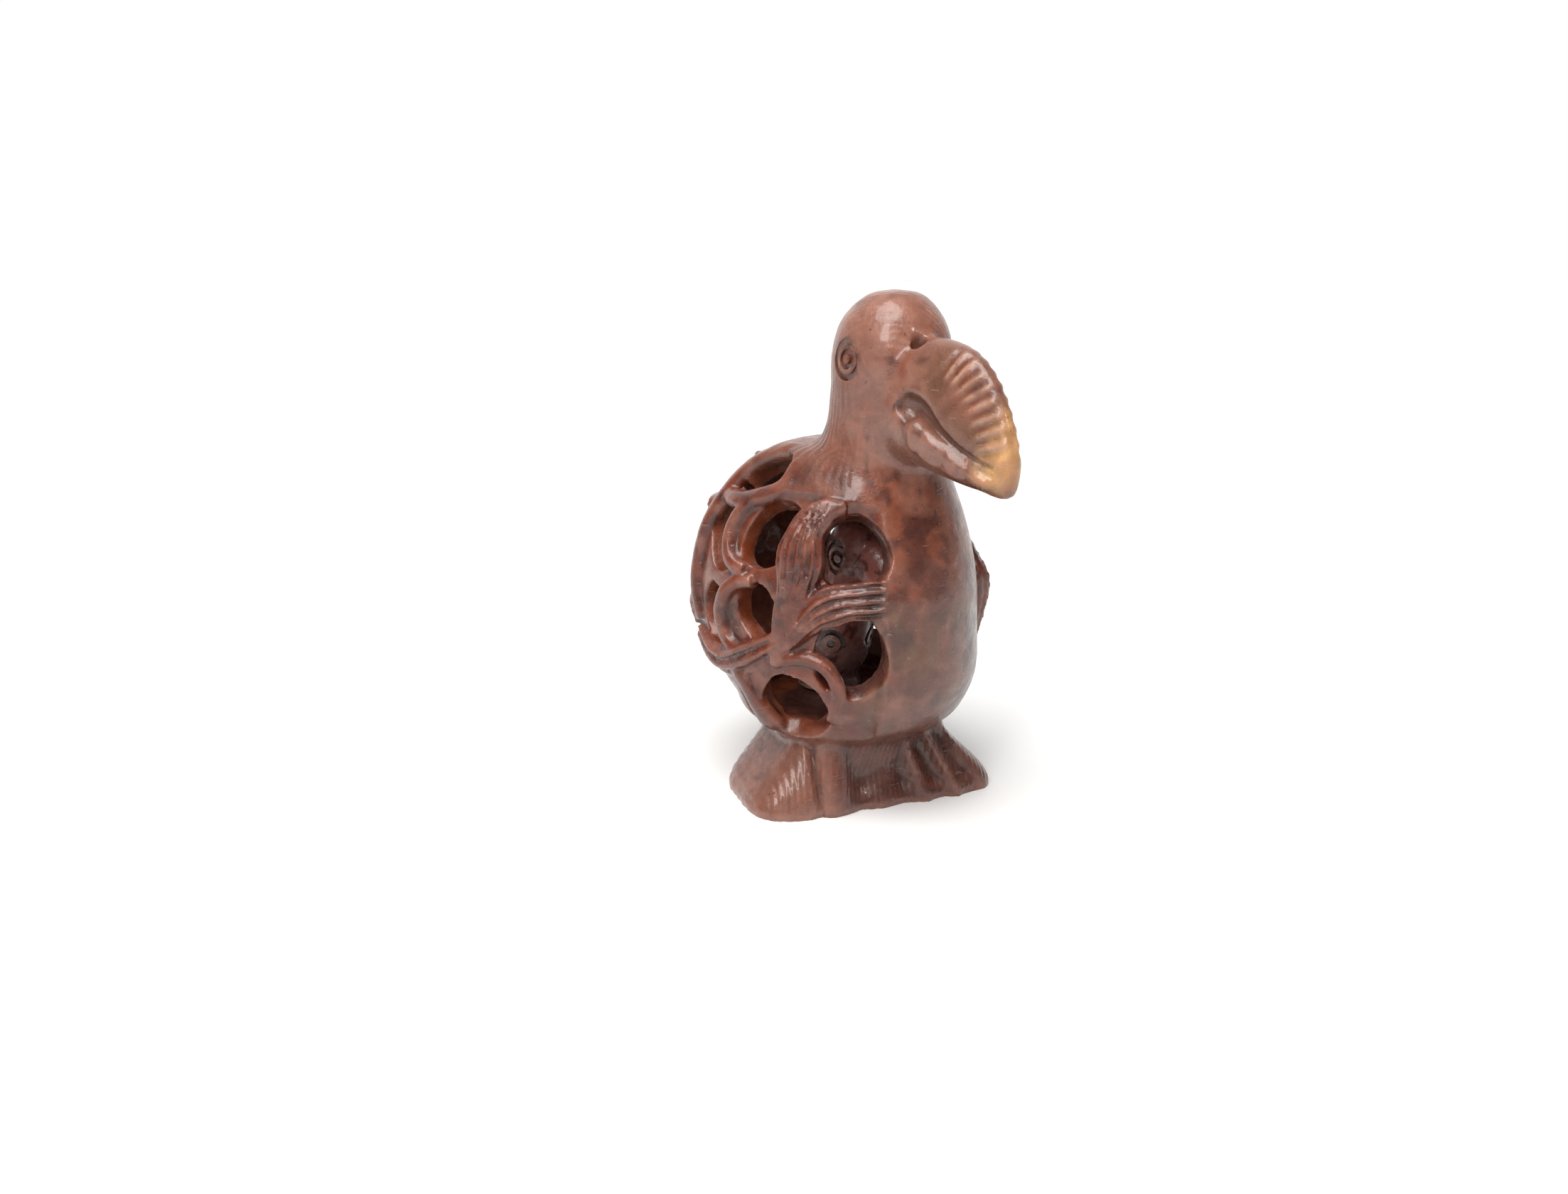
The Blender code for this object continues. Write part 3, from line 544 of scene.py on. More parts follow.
def neighbours_middle(obj, points):
    """For each vertex, the middle of the vertices that it shares an edge with."""
    edges = np.empty(len(obj.data.edges) * 2, int)
    obj.data.edges.foreach_get("vertices", edges)
    a, b = edges.reshape(-1, 2).T
    count = np.bincount(np.concatenate([a, b]), minlength=len(points))[:, None]

    def middle(values):
        total = np.zeros_like(values)
        for k in range(values.shape[1]):
            total[:, k] = np.bincount(a, values[b, k], len(values))
            total[:, k] += np.bincount(b, values[a, k], len(values))
        return total / count
    return middle


def soften(obj, rounds, weight=None):
    """Draws each vertex half way to its neighbours' middle, as much as weight says."""
    points = read_points(obj)
    middle = neighbours_middle(obj, points)
    share = 0.5 if weight is None else 0.5 * weight(points)[:, None]
    for _ in range(rounds):
        points = points + share * (middle(points) - points)
    move_points(obj, points)


def cheek_weight(points):
    """1 where the beak grows out of the head and the belly out of the neck, below the brow."""
    reach, height = -points[:, 1] / UNIT, points[:, 2] / UNIT
    below_brow = 1 - ease(61, 66, height)
    return below_brow * ease(2, 6, reach) * (1 - ease(15, 19, reach)) * ease(44, 48, height)


def mouth_weight(points):
    """The corner of the mouth, which the polish has rounded."""
    reach, height = -points[:, 1] / UNIT, points[:, 2] / UNIT
    return 1 - ease(3.0, 5.0, np.hypot(reach - 16.5, height - 57.8))


def torso_angles(points):
    ray = points - torso_middle()
    far = np.linalg.norm(ray, axis=1)
    turn = np.degrees(np.arctan2(-ray[:, 0], -ray[:, 1]))
    rise = np.degrees(np.arcsin(np.clip(ray[:, 2] / far, -1, 1)))
    return ray / far[:, None], far, turn, rise


def panel_share(turn, rise):
    """1 within the openwork panel and 0 on the breast, the shoulder and the base."""
    turn = same_turn(turn)
    panel = ease(*PANEL_FRONT, turn) * ease(*PANEL_FOOT, rise)
    top = np.interp(turn, PANEL_TOP_TURNS, PANEL_TOP_RISES)
    return panel * (1 - ease(0, PANEL_TOP_EDGE, rise - top))


def sink_panel(obj):
    """Sets the openwork back from the breast and the shoulder."""
    points = read_points(obj)
    ray, _, turn, rise = torso_angles(points)
    move_points(obj, points - ray * (PANEL_RECESS * panel_share(turn, rise))[:, None])


def noise(points, size, seed):
    """Smooth random values from 0 to 1, with lumps of about the given size."""
    grid = points / size + seed * 17.31
    cell = np.floor(grid)
    part = grid - cell
    part = part * part * (3 - 2 * part)
    total = np.zeros(len(points))
    for corner in np.ndindex(2, 2, 2):
        near = np.where(np.array(corner) == 1, part, 1 - part).prod(1)
        value = np.sin((cell + corner) @ np.array([127.1, 311.7, 74.7]) + seed * 3.7) * 43758.5453
        total += near * (value - np.floor(value))
    return total


def cloud(points, size, seed, octaves=3):
    """Noise of several sizes, from 0 to 1."""
    total, share, whole = 0, 1.0, 0
    for octave in range(octaves):
        total = total + share * noise(points, size / 2**octave, seed + octave)
        whole += share
        share /= 2
    return total / whole


def beak_flutes(points):
    """Where the cross grooves over the beak's ridge lie, and how deep each point is in one."""
    ridge = smooth_rows(BEAK[1:], STEPS)[:, :2] * UNIT
    length = np.concatenate([[0], np.cumsum(np.linalg.norm(np.diff(ridge, axis=0), axis=1))])
    length /= length[-1]
    flat = np.stack([-points[:, 1], points[:, 2]], -1)
    close = (points[:, 2] > 47 * UNIT) & (flat[:, 0] > 12 * UNIT)
    gap = np.full(len(points), 1.0)
    place = np.zeros(len(points))
    distance = np.linalg.norm(flat[close][:, None] - ridge[None], axis=2)
    nearest = distance.argmin(1)
    gap[close] = distance.min(1)
    part = flat[close] - ridge[nearest]
    step = np.gradient(ridge, axis=0)[nearest]
    place[close] = length[nearest]
    place[close] += (part * step).sum(1) / (step**2).sum(1) * np.gradient(length)[nearest]
    aside = np.abs(points[:, 0]) / BEAK_FLUTE_BAND
    band = (0.2 + 0.8 * ease(0.1, 0.45, aside)) * (1 - ease(0.7, 1, aside))
    band *= 1 - ease(2.6 * UNIT, 4.6 * UNIT, gap)
    band *= ease(0.22, 0.32, place) * (1 - ease(0.82, 0.92, place))
    groove = np.abs(np.cos(np.pi * BEAK_FLUTES * place + 0.5 * noise(points, 3 * UNIT, 8))) ** 1.4
    return band, groove


def flute_beak(points, normals):
    """Cross grooves over the ridge of the beak."""
    band, groove = beak_flutes(points)
    uneven = 0.8 + 0.4 * noise(points, 4 * UNIT, 5)
    return points - normals * (BEAK_FLUTE_DEPTH * band * groove * uneven)[:, None]


def swell_mandible(points, normals):
    """The lower beak bulges in upright facets below the mouth."""
    reach, height = -points[:, 1] / UNIT, points[:, 2] / UNIT
    line = smooth_rows(MOUTH, 6)
    mouth = np.interp(reach, line[:, 0], line[:, 1])
    below = mouth - 0.6 - height
    low = np.interp(reach, [16, 20, 24, 30], [52.5, 50.6, 49.3, 48.2])
    share = ease(0, 1.2, below) * ease(0, 1.2, height - low) * ease(15.5, 17.5, reach)
    share *= 1 - ease(28, 30, reach)
    share *= ease(0.5, 1.5, np.abs(points[:, 0]) / UNIT)
    facets = 0.65 + 0.35 * np.abs(np.cos((reach - height * 0.3) * 0.75))
    return points + normals * (0.95 * UNIT * share * facets)[:, None]


def carve_marks(points, normals, depth_below):
    """The uneven hand work: lumps, rough inner walls and strokes down the neck."""
    ray, far, turn, rise = torso_angles(points)
    reach, height = -points[:, 1] / UNIT, points[:, 2] / UNIT
    torso = (1 - ease(44, 47, height)) * ease(9.5, 11, height)
    open_part = panel_share(turn, rise) * torso
    inner = ease(1.5, 3.0, depth_below / UNIT) * torso
    lift = 0.16 * (cloud(points, 3.5 * UNIT, 1) - 0.5) + 0.05 * (cloud(points, 1.1 * UNIT, 2, 2) - 0.5)
    lift += open_part * 0.14 * (cloud(points, 2.4 * UNIT, 3) - 0.5)
    lift += inner * 0.5 * (cloud(points, 2.0 * UNIT, 4) - 0.5)
    neck = ease(45, 50, height) * (1 - ease(58, 63, height)) * (1 - ease(7, 11, reach))
    round_neck = np.arctan2(points[:, 0], -points[:, 1] - 5 * UNIT)
    strokes = np.sin(round_neck * 52 + 5 * noise(points, 3 * UNIT, 6))
    lift += neck * 0.05 * strokes
    base = (1 - ease(10, 12, height)) * ease(0.5, 1.5, height)
    c, s = math.cos(BASE_TWIST), math.sin(BASE_TWIST)
    across = points[:, 0] * c + points[:, 1] * s
    lift += base * 0.05 * np.sin(across / UNIT * 7.5 - height * 0.8 + 3 * noise(points, 3 * UNIT, 7))
    return points + normals * (lift * UNIT)[:, None]


def thin(obj, faces):
    """Triangles, as many as asked for."""
    obj.modifiers.new("triangles", "TRIANGULATE")
    settle(obj)
    if len(obj.data.polygons) > faces:
        modifier = obj.modifiers.new("fewer", "DECIMATE")
        modifier.ratio = faces / len(obj.data.polygons)
        modifier.use_collapse_triangulate = True
        settle(obj)


def surface_point(tree, reach, height, side):
    """The skin's outermost point on the bird's right (side -1) or left (side 1)."""
    start = Vector((side * 40 * UNIT, -reach * UNIT, height * UNIT))
    return np.array(tree.ray_cast(start, Vector((-side, 0, 0)))[0])


def tree_of(obj):
    return BVHTree.FromObject(obj, bpy.context.evaluated_depsgraph_get())


def head_cuts(outer):
    """Mouth grooves and nostrils of both sides."""
    tubes = []
    for side in (-1, 1):
        rows = smooth_rows(MOUTH, 6)
        line = np.array([surface_point(outer, r, z, side) for r, z, _, _ in rows])
        line[:, 0] -= side * rows[:, 3] * UNIT
        tubes.append(worm_rings(line, rows[:, 2] * UNIT))
        top, end = [np.array([side * x, -r, z]) * UNIT for x, r, z in (NOSTRIL_TOP, NOSTRIL_END)]
        run = top + (end - top) * np.linspace(0, 1, 4)[:, None]
        tubes.append(worm_rings(run, [NOSTRIL_DRILL] * 4))
    return tubes


def drill_set(centre, axis, radius):
    """Two rings, one inside the other, as a carver's tube drills leave them."""
    inner = radius * 0.48
    return [
        drill_rings(centre, axis, radius, RING_DEPTH, RING_CUT),
        drill_rings(centre, axis, inner, RING_DEPTH, RING_CUT * 0.8),
    ]


def pit(centre, axis, radius):
    """A small drilled dot."""
    run = centre + axis * np.linspace(-1.2, 1.2, 3)[:, None] * RING_DEPTH
    return worm_rings(run, [radius] * 3, 16)


def flatten_foot(obj, level):
    """Presses what lies about the foot's level on to one plane."""
    points = read_points(obj)
    points[points[:, 2] < level + ROUGH_VOXEL / 2, 2] = level
    move_points(obj, points)


def depth_under(body, points):
    """How far below the smooth trunk each point of the torso lies."""
    ray, far, turn, rise = torso_angles(points)
    middle = Vector(torso_middle())
    depth = np.zeros(len(points))
    torso = np.flatnonzero((points[:, 2] > 9 * UNIT) & (points[:, 2] < 52 * UNIT))
    for i in torso:
        hit = body.ray_cast(middle, Vector(ray[i]))
        if hit[0] is not None:
            depth[i] = hit[3] - far[i]
    return depth


def blend(under, over, share):
    return under + (np.array(over) - under) * share[:, None]


def bends(obj, points, normals, rounds):
    """How much of a crease and how much of an edge each point is in."""
    middle = neighbours_middle(obj, points)
    bend = ((middle(points) - points) * normals).sum(1)[:, None]
    for _ in range(rounds):
        bend = middle(bend)
    return ease(0.004, 0.03, bend[:, 0] / UNIT), ease(0.006, 0.04, -bend[:, 0] / UNIT)


def paint_dodo(obj, body):
    """Colours by place, as the bands of the stone and the polish show them, with painted shade, a painted
    glow and painted highlights among them.
    """
    points = read_points(obj)
    normals = read_normals(obj)
    depth = depth_under(body, points) / UNIT
    _, _, turn, rise = torso_angles(points)
    reach, height = -points[:, 1] / UNIT, points[:, 2] / UNIT
    broad = cloud(points, 9 * UNIT, 11)
    patch = cloud(points, 5 * UNIT, 12)
    fine = cloud(points, 1.6 * UNIT, 13)
    colour = np.tile(np.array(MAUVE), (len(points), 1))
    head = ease(46, 52, height)
    torso = (1 - head) * ease(10, 13, height)
    colour = blend(colour, RUST, torso * (0.35 + 0.65 * panel_share(turn, rise)))
    # Warm shoulders, an olive belly and a pale crown
    upper = torso * ease(26, 44, height) * (1 - panel_share(turn, rise))
    colour = blend(colour, ORANGE, 0.5 * upper * ease(0.4, 0.62, broad))
    lower = torso * (1 - ease(28, 36, height)) * (1 - ease(20, 34, same_turn(turn)))
    colour = blend(colour, OLIVE, 0.85 * lower * ease(0.4, 0.6, patch))
    colour = blend(colour, PINK, 0.7 * ease(64, 71, height) * (1 - ease(14, 20, reach)))
    # The stone's own dark and pale patches
    veins = cloud(points, 3.2 * UNIT, 15)
    glow = cloud(points, 2.6 * UNIT, 16)
    colour = blend(colour, MAROON, 0.7 * torso * ease(0.5, 0.64, veins))
    colour = blend(colour, PINK, 0.4 * torso * ease(0.54, 0.68, glow))
    foot = 1 - ease(10, 12, height)
    # Toes' fronts darkened: partly the stone's dark colour there, partly painted shade under the overhanging
    # belly
    toes = foot * ease(0.1, 0.7, -normals[:, 1]) * ease(-11, -8, points[:, 0] / UNIT)
    colour = blend(colour, MAROON, 0.6 * toes)
    # Beak, cheek and the cream tip
    beak = ease(15, 19, reach) * head
    colour = blend(colour, OLIVE, 0.6 * beak * ease(0.35, 0.6, patch))
    colour = blend(colour, PINK, 0.5 * beak * ease(0.45, 0.65, broad))
    cheek = head * ease(5, 9, reach) * (1 - ease(17, 20, reach))
    colour = blend(colour, PINK, 0.4 * cheek)
    tip = ease(0, 5, reach - 25.9 + (fine - 0.5) * 2.5 + (55 - height) * 0.25) * head
    colour = blend(colour, CREAM, np.clip(tip, 0, 1) * 0.95)
    # The holes' walls: orange on the rims as a painted glow of light through the thin stone, and painted
    # shade inside the hollow and deep in the holes beside the breast
    front = 1 - ease(38, 52, same_turn(turn))
    rim = torso * ease(0.6, 1.6, depth) * (1 - ease(3.2, 4.2, depth)) * (1 - front)
    colour = blend(colour, ORANGE, 0.6 * rim)
    colour = blend(colour, MAROON, 0.7 * torso * front * ease(1.0, 2.4, depth))
    colour = blend(colour, MAROON, 0.75 * torso * ease(3.2, 4.4, depth))
    # Flutes, specks and the brow
    band, groove = beak_flutes(points)
    # painted highlight: the flutes' ridges made pale; the grooves get the stone's red-brown
    colour = blend(colour, PALE, 0.75 * band * (1 - groove))
    colour = blend(colour, RUST, 0.6 * band * groove * (1 - 0.7 * tip))
    spots = ease(0.62, 0.72, cloud(points, 1.5 * UNIT, 14, 2)) * ease(0.42, 0.6, broad)
    colour = blend(colour, MAROON, 0.7 * spots * (1 - 0.6 * tip))
    brow = head * (1 - ease(2.5, 5.5, np.hypot(reach - 13, height - 69.5)))
    colour = blend(colour, PINK, 0.7 * brow)
    colour = blend(colour, ORANGE, 0.25 * brow)
    colour *= (0.86 + 0.28 * fine)[:, None]
    # Painted shade in the creases, worn edges, and painted shade on the under side and the left side
    crease, edge = bends(obj, points, normals, 3)
    # painted shade: creases darkened, less so on the head
    colour = blend(colour, CREASE_SHADE, (0.6 - 0.35 * head) * crease)
    eye = 1 - ease(0.5, 1.1, np.hypot(reach - EYE[0], height - EYE[1]))
    colour = blend(colour, RUST, 0.7 * eye * ease(2, 4, np.abs(points[:, 0]) / UNIT))
    colour = blend(colour, PINK, 0.4 * edge)
    # painted shade: faces turned downwards and faces turned to the bird's left are darkened
    under = 1 - ease(-0.8, 0.3, normals[:, 2])
    aside = ease(0.1, 0.9, normals[:, 0]) * (1 - beak)
    colour *= (1 - (1 - foot) * (0.4 * under + 0.3 * aside))[:, None]
    # Short strokes over the forehead, which the material raises
    strokes = ease(63, 67, height) * ease(3, 8, reach) * (1 - ease(13, 16, reach))
    strokes *= ease(0.4, 0.6, cloud(points, 3 * UNIT, 17))
    # The colours, with the painted shade, glow and highlights in them
    store(obj, "stone", colour)
    store(obj, "marks", np.stack([strokes, np.clip(tip, 0, 1), ease(2.5, 4, depth) * torso], -1))


def paint_chick(obj):
    points = read_points(obj)
    broad = cloud(points, 6 * UNIT, 21)
    fine = cloud(points, 1.5 * UNIT, 22)
    colour = np.tile(np.array(CHICK_GREY), (len(points), 1))
    front = ease(0, 5, -(points[:, 1] - CHICK_BACK * UNIT) / UNIT)
    colour = blend(colour, CHICK_RED, 0.8 * front * ease(0.35, 0.55, broad))
    colour *= (0.8 + 0.4 * fine)[:, None]
    dots = ease(0.64, 0.7, cloud(points, 1.3 * UNIT, 23, 2))
    colour = blend(colour, MAROON, 0.7 * dots)
    # Painted shade in the creases, and worn edges
    crease, edge = bends(obj, points, read_normals(obj), 1)
    colour = blend(colour, CREASE_SHADE, 0.85 * crease)
    colour = blend(colour, PALE, 0.5 * edge)
    store(obj, "stone", colour)
    store(obj, "marks", np.zeros((len(points), 3)))


def store(obj, name, values):
    layer = obj.data.attributes.new(name, "FLOAT_COLOR", "POINT")
    full = np.concatenate([np.clip(values, 0, 1), np.ones((len(values), 1))], axis=1)
    layer.data.foreach_set("color", full.ravel())


def build_dodo():
    dodo = skins("dodo_carving", [trunk_rings(smooth_rows(TRUNK, STEPS))])
    body = tree_of(dodo)
    combine(dodo, skins("beak", [beak_rings(smooth_rows(BEAK, STEPS))]), "UNION")
    combine(dodo, skins("base", [base_rings()]), "UNION")
    remesh(dodo, ROUGH_VOXEL)
    soften(dodo, 30, cheek_weight)
    outer = tree_of(dodo)
    sink_panel(dodo)
    combine(dodo, skins("hollow", [hollow_rings()]), "DIFFERENCE")
    holes = [hole_rings(*hole) for hole in SIDE_HOLES + SPINE_HOLES]
    for turn, rise, half_long, half_wide, lean in SIDE_HOLES:
        sizes = half_long * LEFT_SHRINK, half_wide * LEFT_SHRINK
        holes.append(hole_rings(-left_turn(turn), rise, *sizes, -lean))
    combine(dodo, skins("holes", holes), "DIFFERENCE", crossing=True)
    combine(dodo, skins("head cuts", head_cuts(outer)), "DIFFERENCE", crossing=True)
    leaves = [leaf_rings(body, *leaf, side) for leaf in SIDE_LEAVES for side in (1, -1)]
    leaves.append(leaf_rings(body, BIG_LEAF_FLUTES, RIGHT_BIG_LEAF, 1))
    leaves.append(leaf_rings(body, BIG_LEAF_FLUTES, LEFT_BIG_LEAF, -1))
    merge_into(dodo, skins("leaves", leaves))
    remesh(dodo, FINE_VOXEL)
    soften(dodo, 2)
    soften(dodo, 14, mouth_weight)
    points = flute_beak(read_points(dodo), read_normals(dodo))
    move_points(dodo, points)
    points = swell_mandible(points, read_normals(dodo))
    move_points(dodo, points)
    points = carve_marks(points, read_normals(dodo), depth_under(body, points))
    move_points(dodo, points)
    flatten_foot(dodo, 0)
    thin(dodo, DODO_FACES)
    eyes = []
    for side in (-1, 1):
        eyes += drill_set(surface_point(outer, *EYE, side), (side, 0, 0), EYE_DRILL)
    combine(dodo, skins("eyes", eyes, closed=True), "DIFFERENCE")
    paint_dodo(dodo, body)
    return dodo


def build_chick():
    chick = skins("chick_carving", [trunk_rings(smooth_rows(CHICK_TRUNK, 6))])
    combine(chick, skins("beak", [beak_rings(smooth_rows(CHICK_BEAK, 6))]), "UNION")
    remesh(chick, CHICK_VOXEL)
    soften(chick, 12)
    outer = tree_of(chick)
    points = read_points(chick)
    lift = 0.25 * (cloud(points, 3 * UNIT, 31) - 0.5) * UNIT
    move_points(chick, points + read_normals(chick) * lift[:, None])
    flatten_foot(chick, 0)
    thin(chick, CHICK_FACES)
    rings, pits = [], []
    for side in (-1, 1):
        rings += drill_set(surface_point(outer, *CHICK_EYE, side), (side, 0, 0), CHICK_DRILL)
        turn, height = math.radians(CHICK_WING[0]), CHICK_WING[1] * UNIT
        axis = np.array([side * math.sin(turn), -math.cos(turn), 0])
        beside = np.array([side * math.cos(turn), math.sin(turn), 0])
        start = axis * 20 * UNIT + [0, 0, height]
        middle = np.array(outer.ray_cast(Vector(start), Vector(-axis))[0])
        rings.append(drill_rings(middle, axis, CHICK_DRILL * 0.85, RING_DEPTH, RING_CUT))
        pits.append(pit(middle, axis, RING_CUT * 0.7))
        for across, up in CHICK_DOTS:
            start = middle + axis * 8 * UNIT + (beside * across + [0, 0, up]) * UNIT
            dot = np.array(outer.ray_cast(Vector(start), Vector(-axis))[0])
            pits.append(pit(dot, axis, RING_CUT * 0.8))
    combine(chick, skins("rings", rings, closed=True), "DIFFERENCE")
    combine(chick, skins("pits", pits), "DIFFERENCE")
    points = read_points(chick)
    move_points(chick, points + [0, CHICK_BACK * UNIT, WAIST_HEIGHT + FLOOR + CHICK_GAP])
    paint_chick(chick)
    return chick


class Nodes:
    """Short calls that add shader nodes and join them."""

    def __init__(self, name):
        self.material = bpy.data.materials.new(name)
        self.material.use_nodes = True
        self.tree = self.material.node_tree
        self.shader = self.tree.nodes["Principled BSDF"]
        self.place = self.add("ShaderNodeTexCoord").outputs["Object"]

    def add(self, kind, **settings):
        node = self.tree.nodes.new(kind)
        for key, value in settings.items():
            setattr(node, key, value)
        return node

    def put(self, value, socket):
        if isinstance(value, bpy.types.NodeSocket):
            self.tree.links.new(value, socket)
        else:
            socket.default_value = value

    def noise(self, scale, detail=3.0, rough=0.5, distort=0.0, stretch=None):
        node = self.add("ShaderNodeTexNoise")
        place = self.place
        if stretch:
            mapping = self.add("ShaderNodeMapping")
            self.put(self.place, mapping.inputs["Vector"])
            mapping.inputs["Scale"].default_value = stretch
            place = mapping.outputs["Vector"]
        self.put(place, node.inputs["Vector"])
        node.inputs["Scale"].default_value = scale
        node.inputs["Detail"].default_value = detail
        node.inputs["Roughness"].default_value = rough
        node.inputs["Distortion"].default_value = distort
        return node.outputs["Fac"]

    def step(self, value, low, high, out_low=0.0, out_high=1.0):
        node = self.add("ShaderNodeMapRange", interpolation_type="SMOOTHSTEP")
        self.put(value, node.inputs["Value"])
        for name, number in zip(("From Min", "From Max", "To Min", "To Max"), (low, high, out_low, out_high)):
            self.put(number, node.inputs[name])
        return node.outputs["Result"]

    def math(self, operation, a, b):
        node = self.add("ShaderNodeMath", operation=operation)
        self.put(a, node.inputs[0])
        self.put(b, node.inputs[1])
        return node.outputs[0]

    def mix(self, share, under, over, kind="MIX"):
        node = self.add("ShaderNodeMix", data_type="RGBA", blend_type=kind)
        self.put(share, node.inputs[0])
        self.put(under if isinstance(under, bpy.types.NodeSocket) else (*under, 1), node.inputs[6])
        self.put(over if isinstance(over, bpy.types.NodeSocket) else (*over, 1), node.inputs[7])
        return node.outputs[2]

    def bump(self, height, distance, normal=None, strength=1.0):
        node = self.add("ShaderNodeBump")
        self.put(height, node.inputs["Height"])
        node.inputs["Distance"].default_value = distance
        node.inputs["Strength"].default_value = strength
        if normal is not None:
            self.put(normal, node.inputs["Normal"])
        return node.outputs["Normal"]


def stone(name, mottle, gloss, subsurface, spots):
    """Waxed soft stone: mottled colour, dark grains, pale specks, scratches and a little depth."""
    n = Nodes(name)
    colour = n.add("ShaderNodeAttribute", attribute_name="stone").outputs["Color"]
    marks = n.add("ShaderNodeSeparateColor")
    n.put(n.add("ShaderNodeAttribute", attribute_name="marks").outputs["Color"], marks.inputs["Color"])
    strokes, tip, inner = [marks.outputs[k] for k in ("Red", "Green", "Blue")]
    broad = n.step(n.noise(330, 5, 0.6, 0.6), 0.3, 0.7)
    colour = n.mix(n.math("MULTIPLY", broad, mottle), colour, (0.45, 0.36, 0.32), "MULTIPLY")
    warm = n.step(n.noise(190, 4, 0.55, 1.0), 0.5, 0.72)
    colour = n.mix(n.math("MULTIPLY", warm, mottle * 0.8), colour, (1.0, 0.55, 0.36), "MULTIPLY")
    grain = n.step(n.noise(1500, 2, 0.5), 0.66, 0.76)
    colour = n.mix(n.math("MULTIPLY", grain, spots), colour, MAROON)
    speck = n.step(n.noise(2300, 2, 0.6), 0.70, 0.78)
    colour = n.mix(n.math("MULTIPLY", speck, 0.4), colour, (0.62, 0.44, 0.34))
    scratch = n.step(n.noise(420, 2, 0.5, 0.2, (1.0, 1.0, 7.0)), 0.68, 0.73)
    colour = n.mix(n.math("MULTIPLY", scratch, 0.16), colour, (0.6, 0.42, 0.34))
    n.put(colour, n.shader.inputs["Base Color"])
    rough = n.step(n.noise(600, 4, 0.6), 0.3, 0.7, gloss, gloss + 0.2)
    rough = n.math("ADD", rough, n.math("MULTIPLY", inner, 0.18))
    n.put(rough, n.shader.inputs["Roughness"])
    n.shader.inputs["Metallic"].default_value = 0
    n.shader.inputs["IOR"].default_value = 1.5
    n.shader.inputs["Coat Weight"].default_value = 0.35
    n.shader.inputs["Coat Roughness"].default_value = 0.11
    n.put(n.step(tip, 0, 1, subsurface, subsurface + 0.35), n.shader.inputs["Subsurface Weight"])
    n.shader.inputs["Subsurface Radius"].default_value = (1.0, 0.32, 0.12)
    n.shader.inputs["Subsurface Scale"].default_value = 0.003
    normal = n.bump(n.noise(900, 5, 0.6), 0.00012)
    normal = n.bump(n.noise(3800, 3, 0.6), 0.00003, normal)
    normal = n.bump(scratch, 0.00004, normal)
    waves = n.add("ShaderNodeTexWave", wave_type="BANDS", bands_direction="DIAGONAL")
    n.put(n.place, waves.inputs["Vector"])
    waves.inputs["Scale"].default_value = 480
    waves.inputs["Distortion"].default_value = 3.0
    waves.inputs["Detail"].default_value = 1.0
    waves.inputs["Detail Scale"].default_value = 0.6
    normal = n.bump(n.math("MULTIPLY", waves.outputs["Fac"], strokes), 0.00005, normal)
    n.put(normal, n.shader.inputs["Normal"])
    return n.material


def plain(name, colour, roughness):
    n = Nodes(name)
    n.shader.inputs["Base Color"].default_value = (*colour, 1)
    n.shader.inputs["Roughness"].default_value = roughness
    return n.material


def dress(obj, material, node):
    obj.data.materials.clear()
    obj.data.materials.append(material)
    obj.data.shade_smooth()
    obj.data.set_sharp_from_angle(angle=CREASE)
    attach(obj, "root")
    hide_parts(node)


def area_light(name, place, target, size, watts, colour):
    light = bpy.data.lights.new(name, "AREA")
    light.shape = "RECTANGLE"
    light.size, light.size_y = size
    light.energy = watts
    light.color = colour
    obj = bpy.data.objects.new(name, light)
    obj.location = place
    obj.rotation_euler = (Vector(target) - Vector(place)).to_track_quat("-Z", "Y").to_euler()
    bpy.context.scene.collection.objects.link(obj)


# The photograph's camera, fitted to the figure's outline
PHOTO_WIDTH = 2206
FOCAL_PIXELS = 1740
SENSOR = 36
PITCH = math.radians(14.5)
ROUND = math.radians(32.3)
EYE_HEIGHT = 0.0740
ASIDE, AWAY = 0.0113, 0.174

# Studio light: a broad sky from above, a window on the left and a small lamp on the right
SKY_STRENGTH = 3.1
SKY_SPREAD = math.radians(44)
SKY_DIRECTION = (0.33, 0.16, -1.0)
WINDOW_PLACE = (-0.41, -0.27, 0.38)
LAMP_PLACE = (0.06, -0.42, 0.36)
LIT = (0, 0, 0.045)  # what the lights face
FLOOR_REACH = 30.0


def ground(x, y):
    c, s = math.cos(ROUND), math.sin(ROUND)
    return Vector((x * c + y * s, -x * s + y * c, 0))


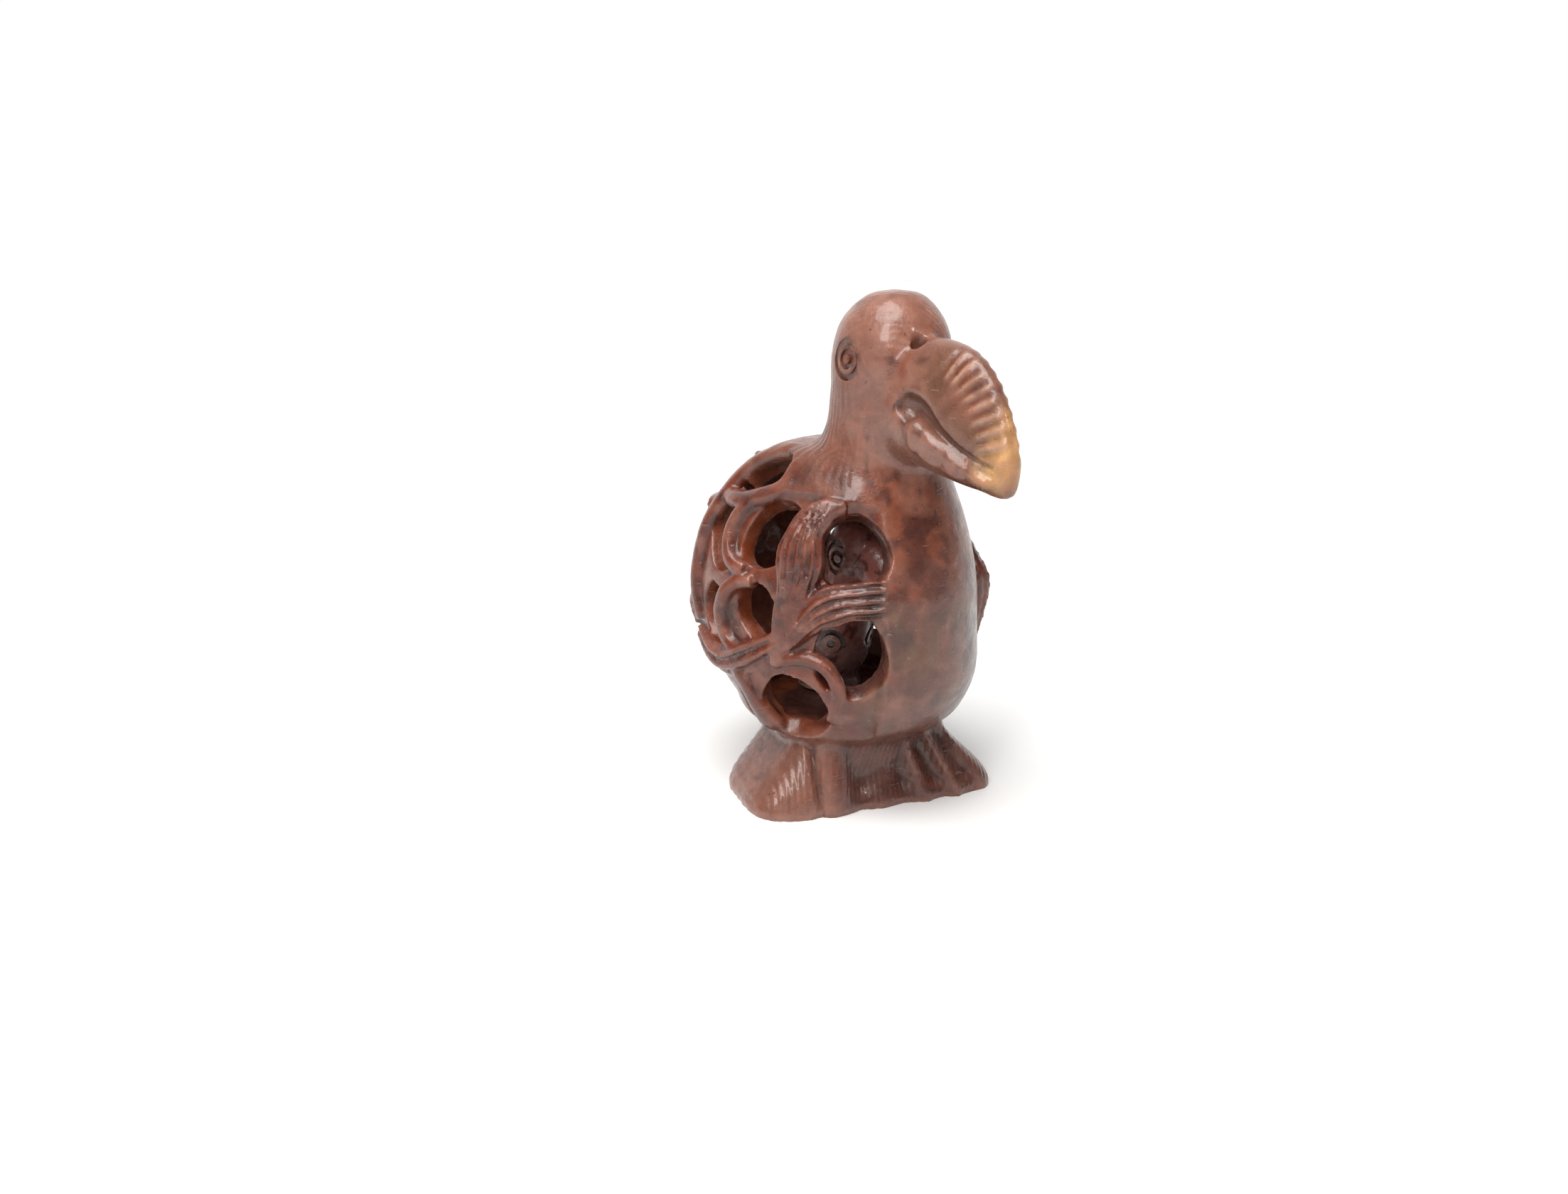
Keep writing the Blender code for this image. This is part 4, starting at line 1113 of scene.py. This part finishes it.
def place_camera():
    data = bpy.data.cameras.new("photo camera")
    data.sensor_width = SENSOR
    data.lens = SENSOR * FOCAL_PIXELS / PHOTO_WIDTH
    data.clip_start = 0.005
    camera = bpy.data.objects.new("photo camera", data)
    bpy.context.scene.collection.objects.link(camera)
    eye = ground(-ASIDE, -AWAY) + Vector((0, 0, EYE_HEIGHT))
    ahead = ground(0, 1) * math.cos(PITCH) - Vector((0, 0, math.sin(PITCH)))
    right = ground(1, 0)
    up = right.cross(ahead)
    camera.matrix_world = Matrix((
        (right.x, up.x, -ahead.x, eye.x),
        (right.y, up.y, -ahead.y, eye.y),
        (right.z, up.z, -ahead.z, eye.z),
        (0, 0, 0, 1),
    ))
    bpy.context.scene.camera = camera


def build_stage():
    """A pale floor, round the figure and to the horizon, under plain soft studio light."""
    a = turns(96)
    levels = (-0.01, 0.0)
    rings = [[[FLOOR_REACH * math.cos(t), FLOOR_REACH * math.sin(t), z] for t in a] for z in levels]
    floor = skins("floor", [rings])
    floor.data.materials.append(plain("paper", (0.92, 0.92, 0.92), 0.7))
    sun = bpy.data.lights.new("sky", "SUN")
    sun.energy = SKY_STRENGTH
    sun.angle = SKY_SPREAD
    sun.color = (1.0, 0.985, 0.96)
    sky = bpy.data.objects.new("sky", sun)
    sky.rotation_euler = Vector(SKY_DIRECTION).to_track_quat("-Z", "Y").to_euler()
    bpy.context.scene.collection.objects.link(sky)
    area_light("window", WINDOW_PLACE, LIT, (0.12, 0.24), 1.1, (1.0, 0.99, 0.97))
    area_light("lamp", LAMP_PLACE, LIT, (0.03, 0.05), 0.2, (1.0, 0.98, 0.95))
    world = bpy.data.worlds.new("studio")
    world.use_nodes = True
    tree = world.node_tree
    towards = tree.nodes.new("ShaderNodeVectorMath")
    towards.operation = "DOT_PRODUCT"
    towards.inputs[1].default_value = ground(0, 1)
    tree.links.new(tree.nodes.new("ShaderNodeTexCoord").outputs["Generated"], towards.inputs[0])
    share = tree.nodes.new("ShaderNodeMapRange")
    tree.links.new(towards.outputs["Value"], share.inputs["Value"])
    for name, number in (("From Min", 0.3), ("From Max", 0.8), ("To Min", 0.12), ("To Max", 1.0)):
        share.inputs[name].default_value = number
    tree.links.new(share.outputs["Result"], tree.nodes["Background"].inputs["Strength"])
    tree.nodes["Background"].inputs["Color"].default_value = (1, 1, 1, 1)
    bpy.context.scene.world = world
    bpy.context.scene.view_settings.view_transform = "Standard"


dodo = build_dodo()
chick = build_chick()
dress(dodo, stone("dodo stone", 0.55, 0.24, 0.14, 0.6), "dodo")
dress(chick, stone("chick stone", 0.4, 0.18, 0.05, 0.4), "chick")
place_camera()
build_stage()
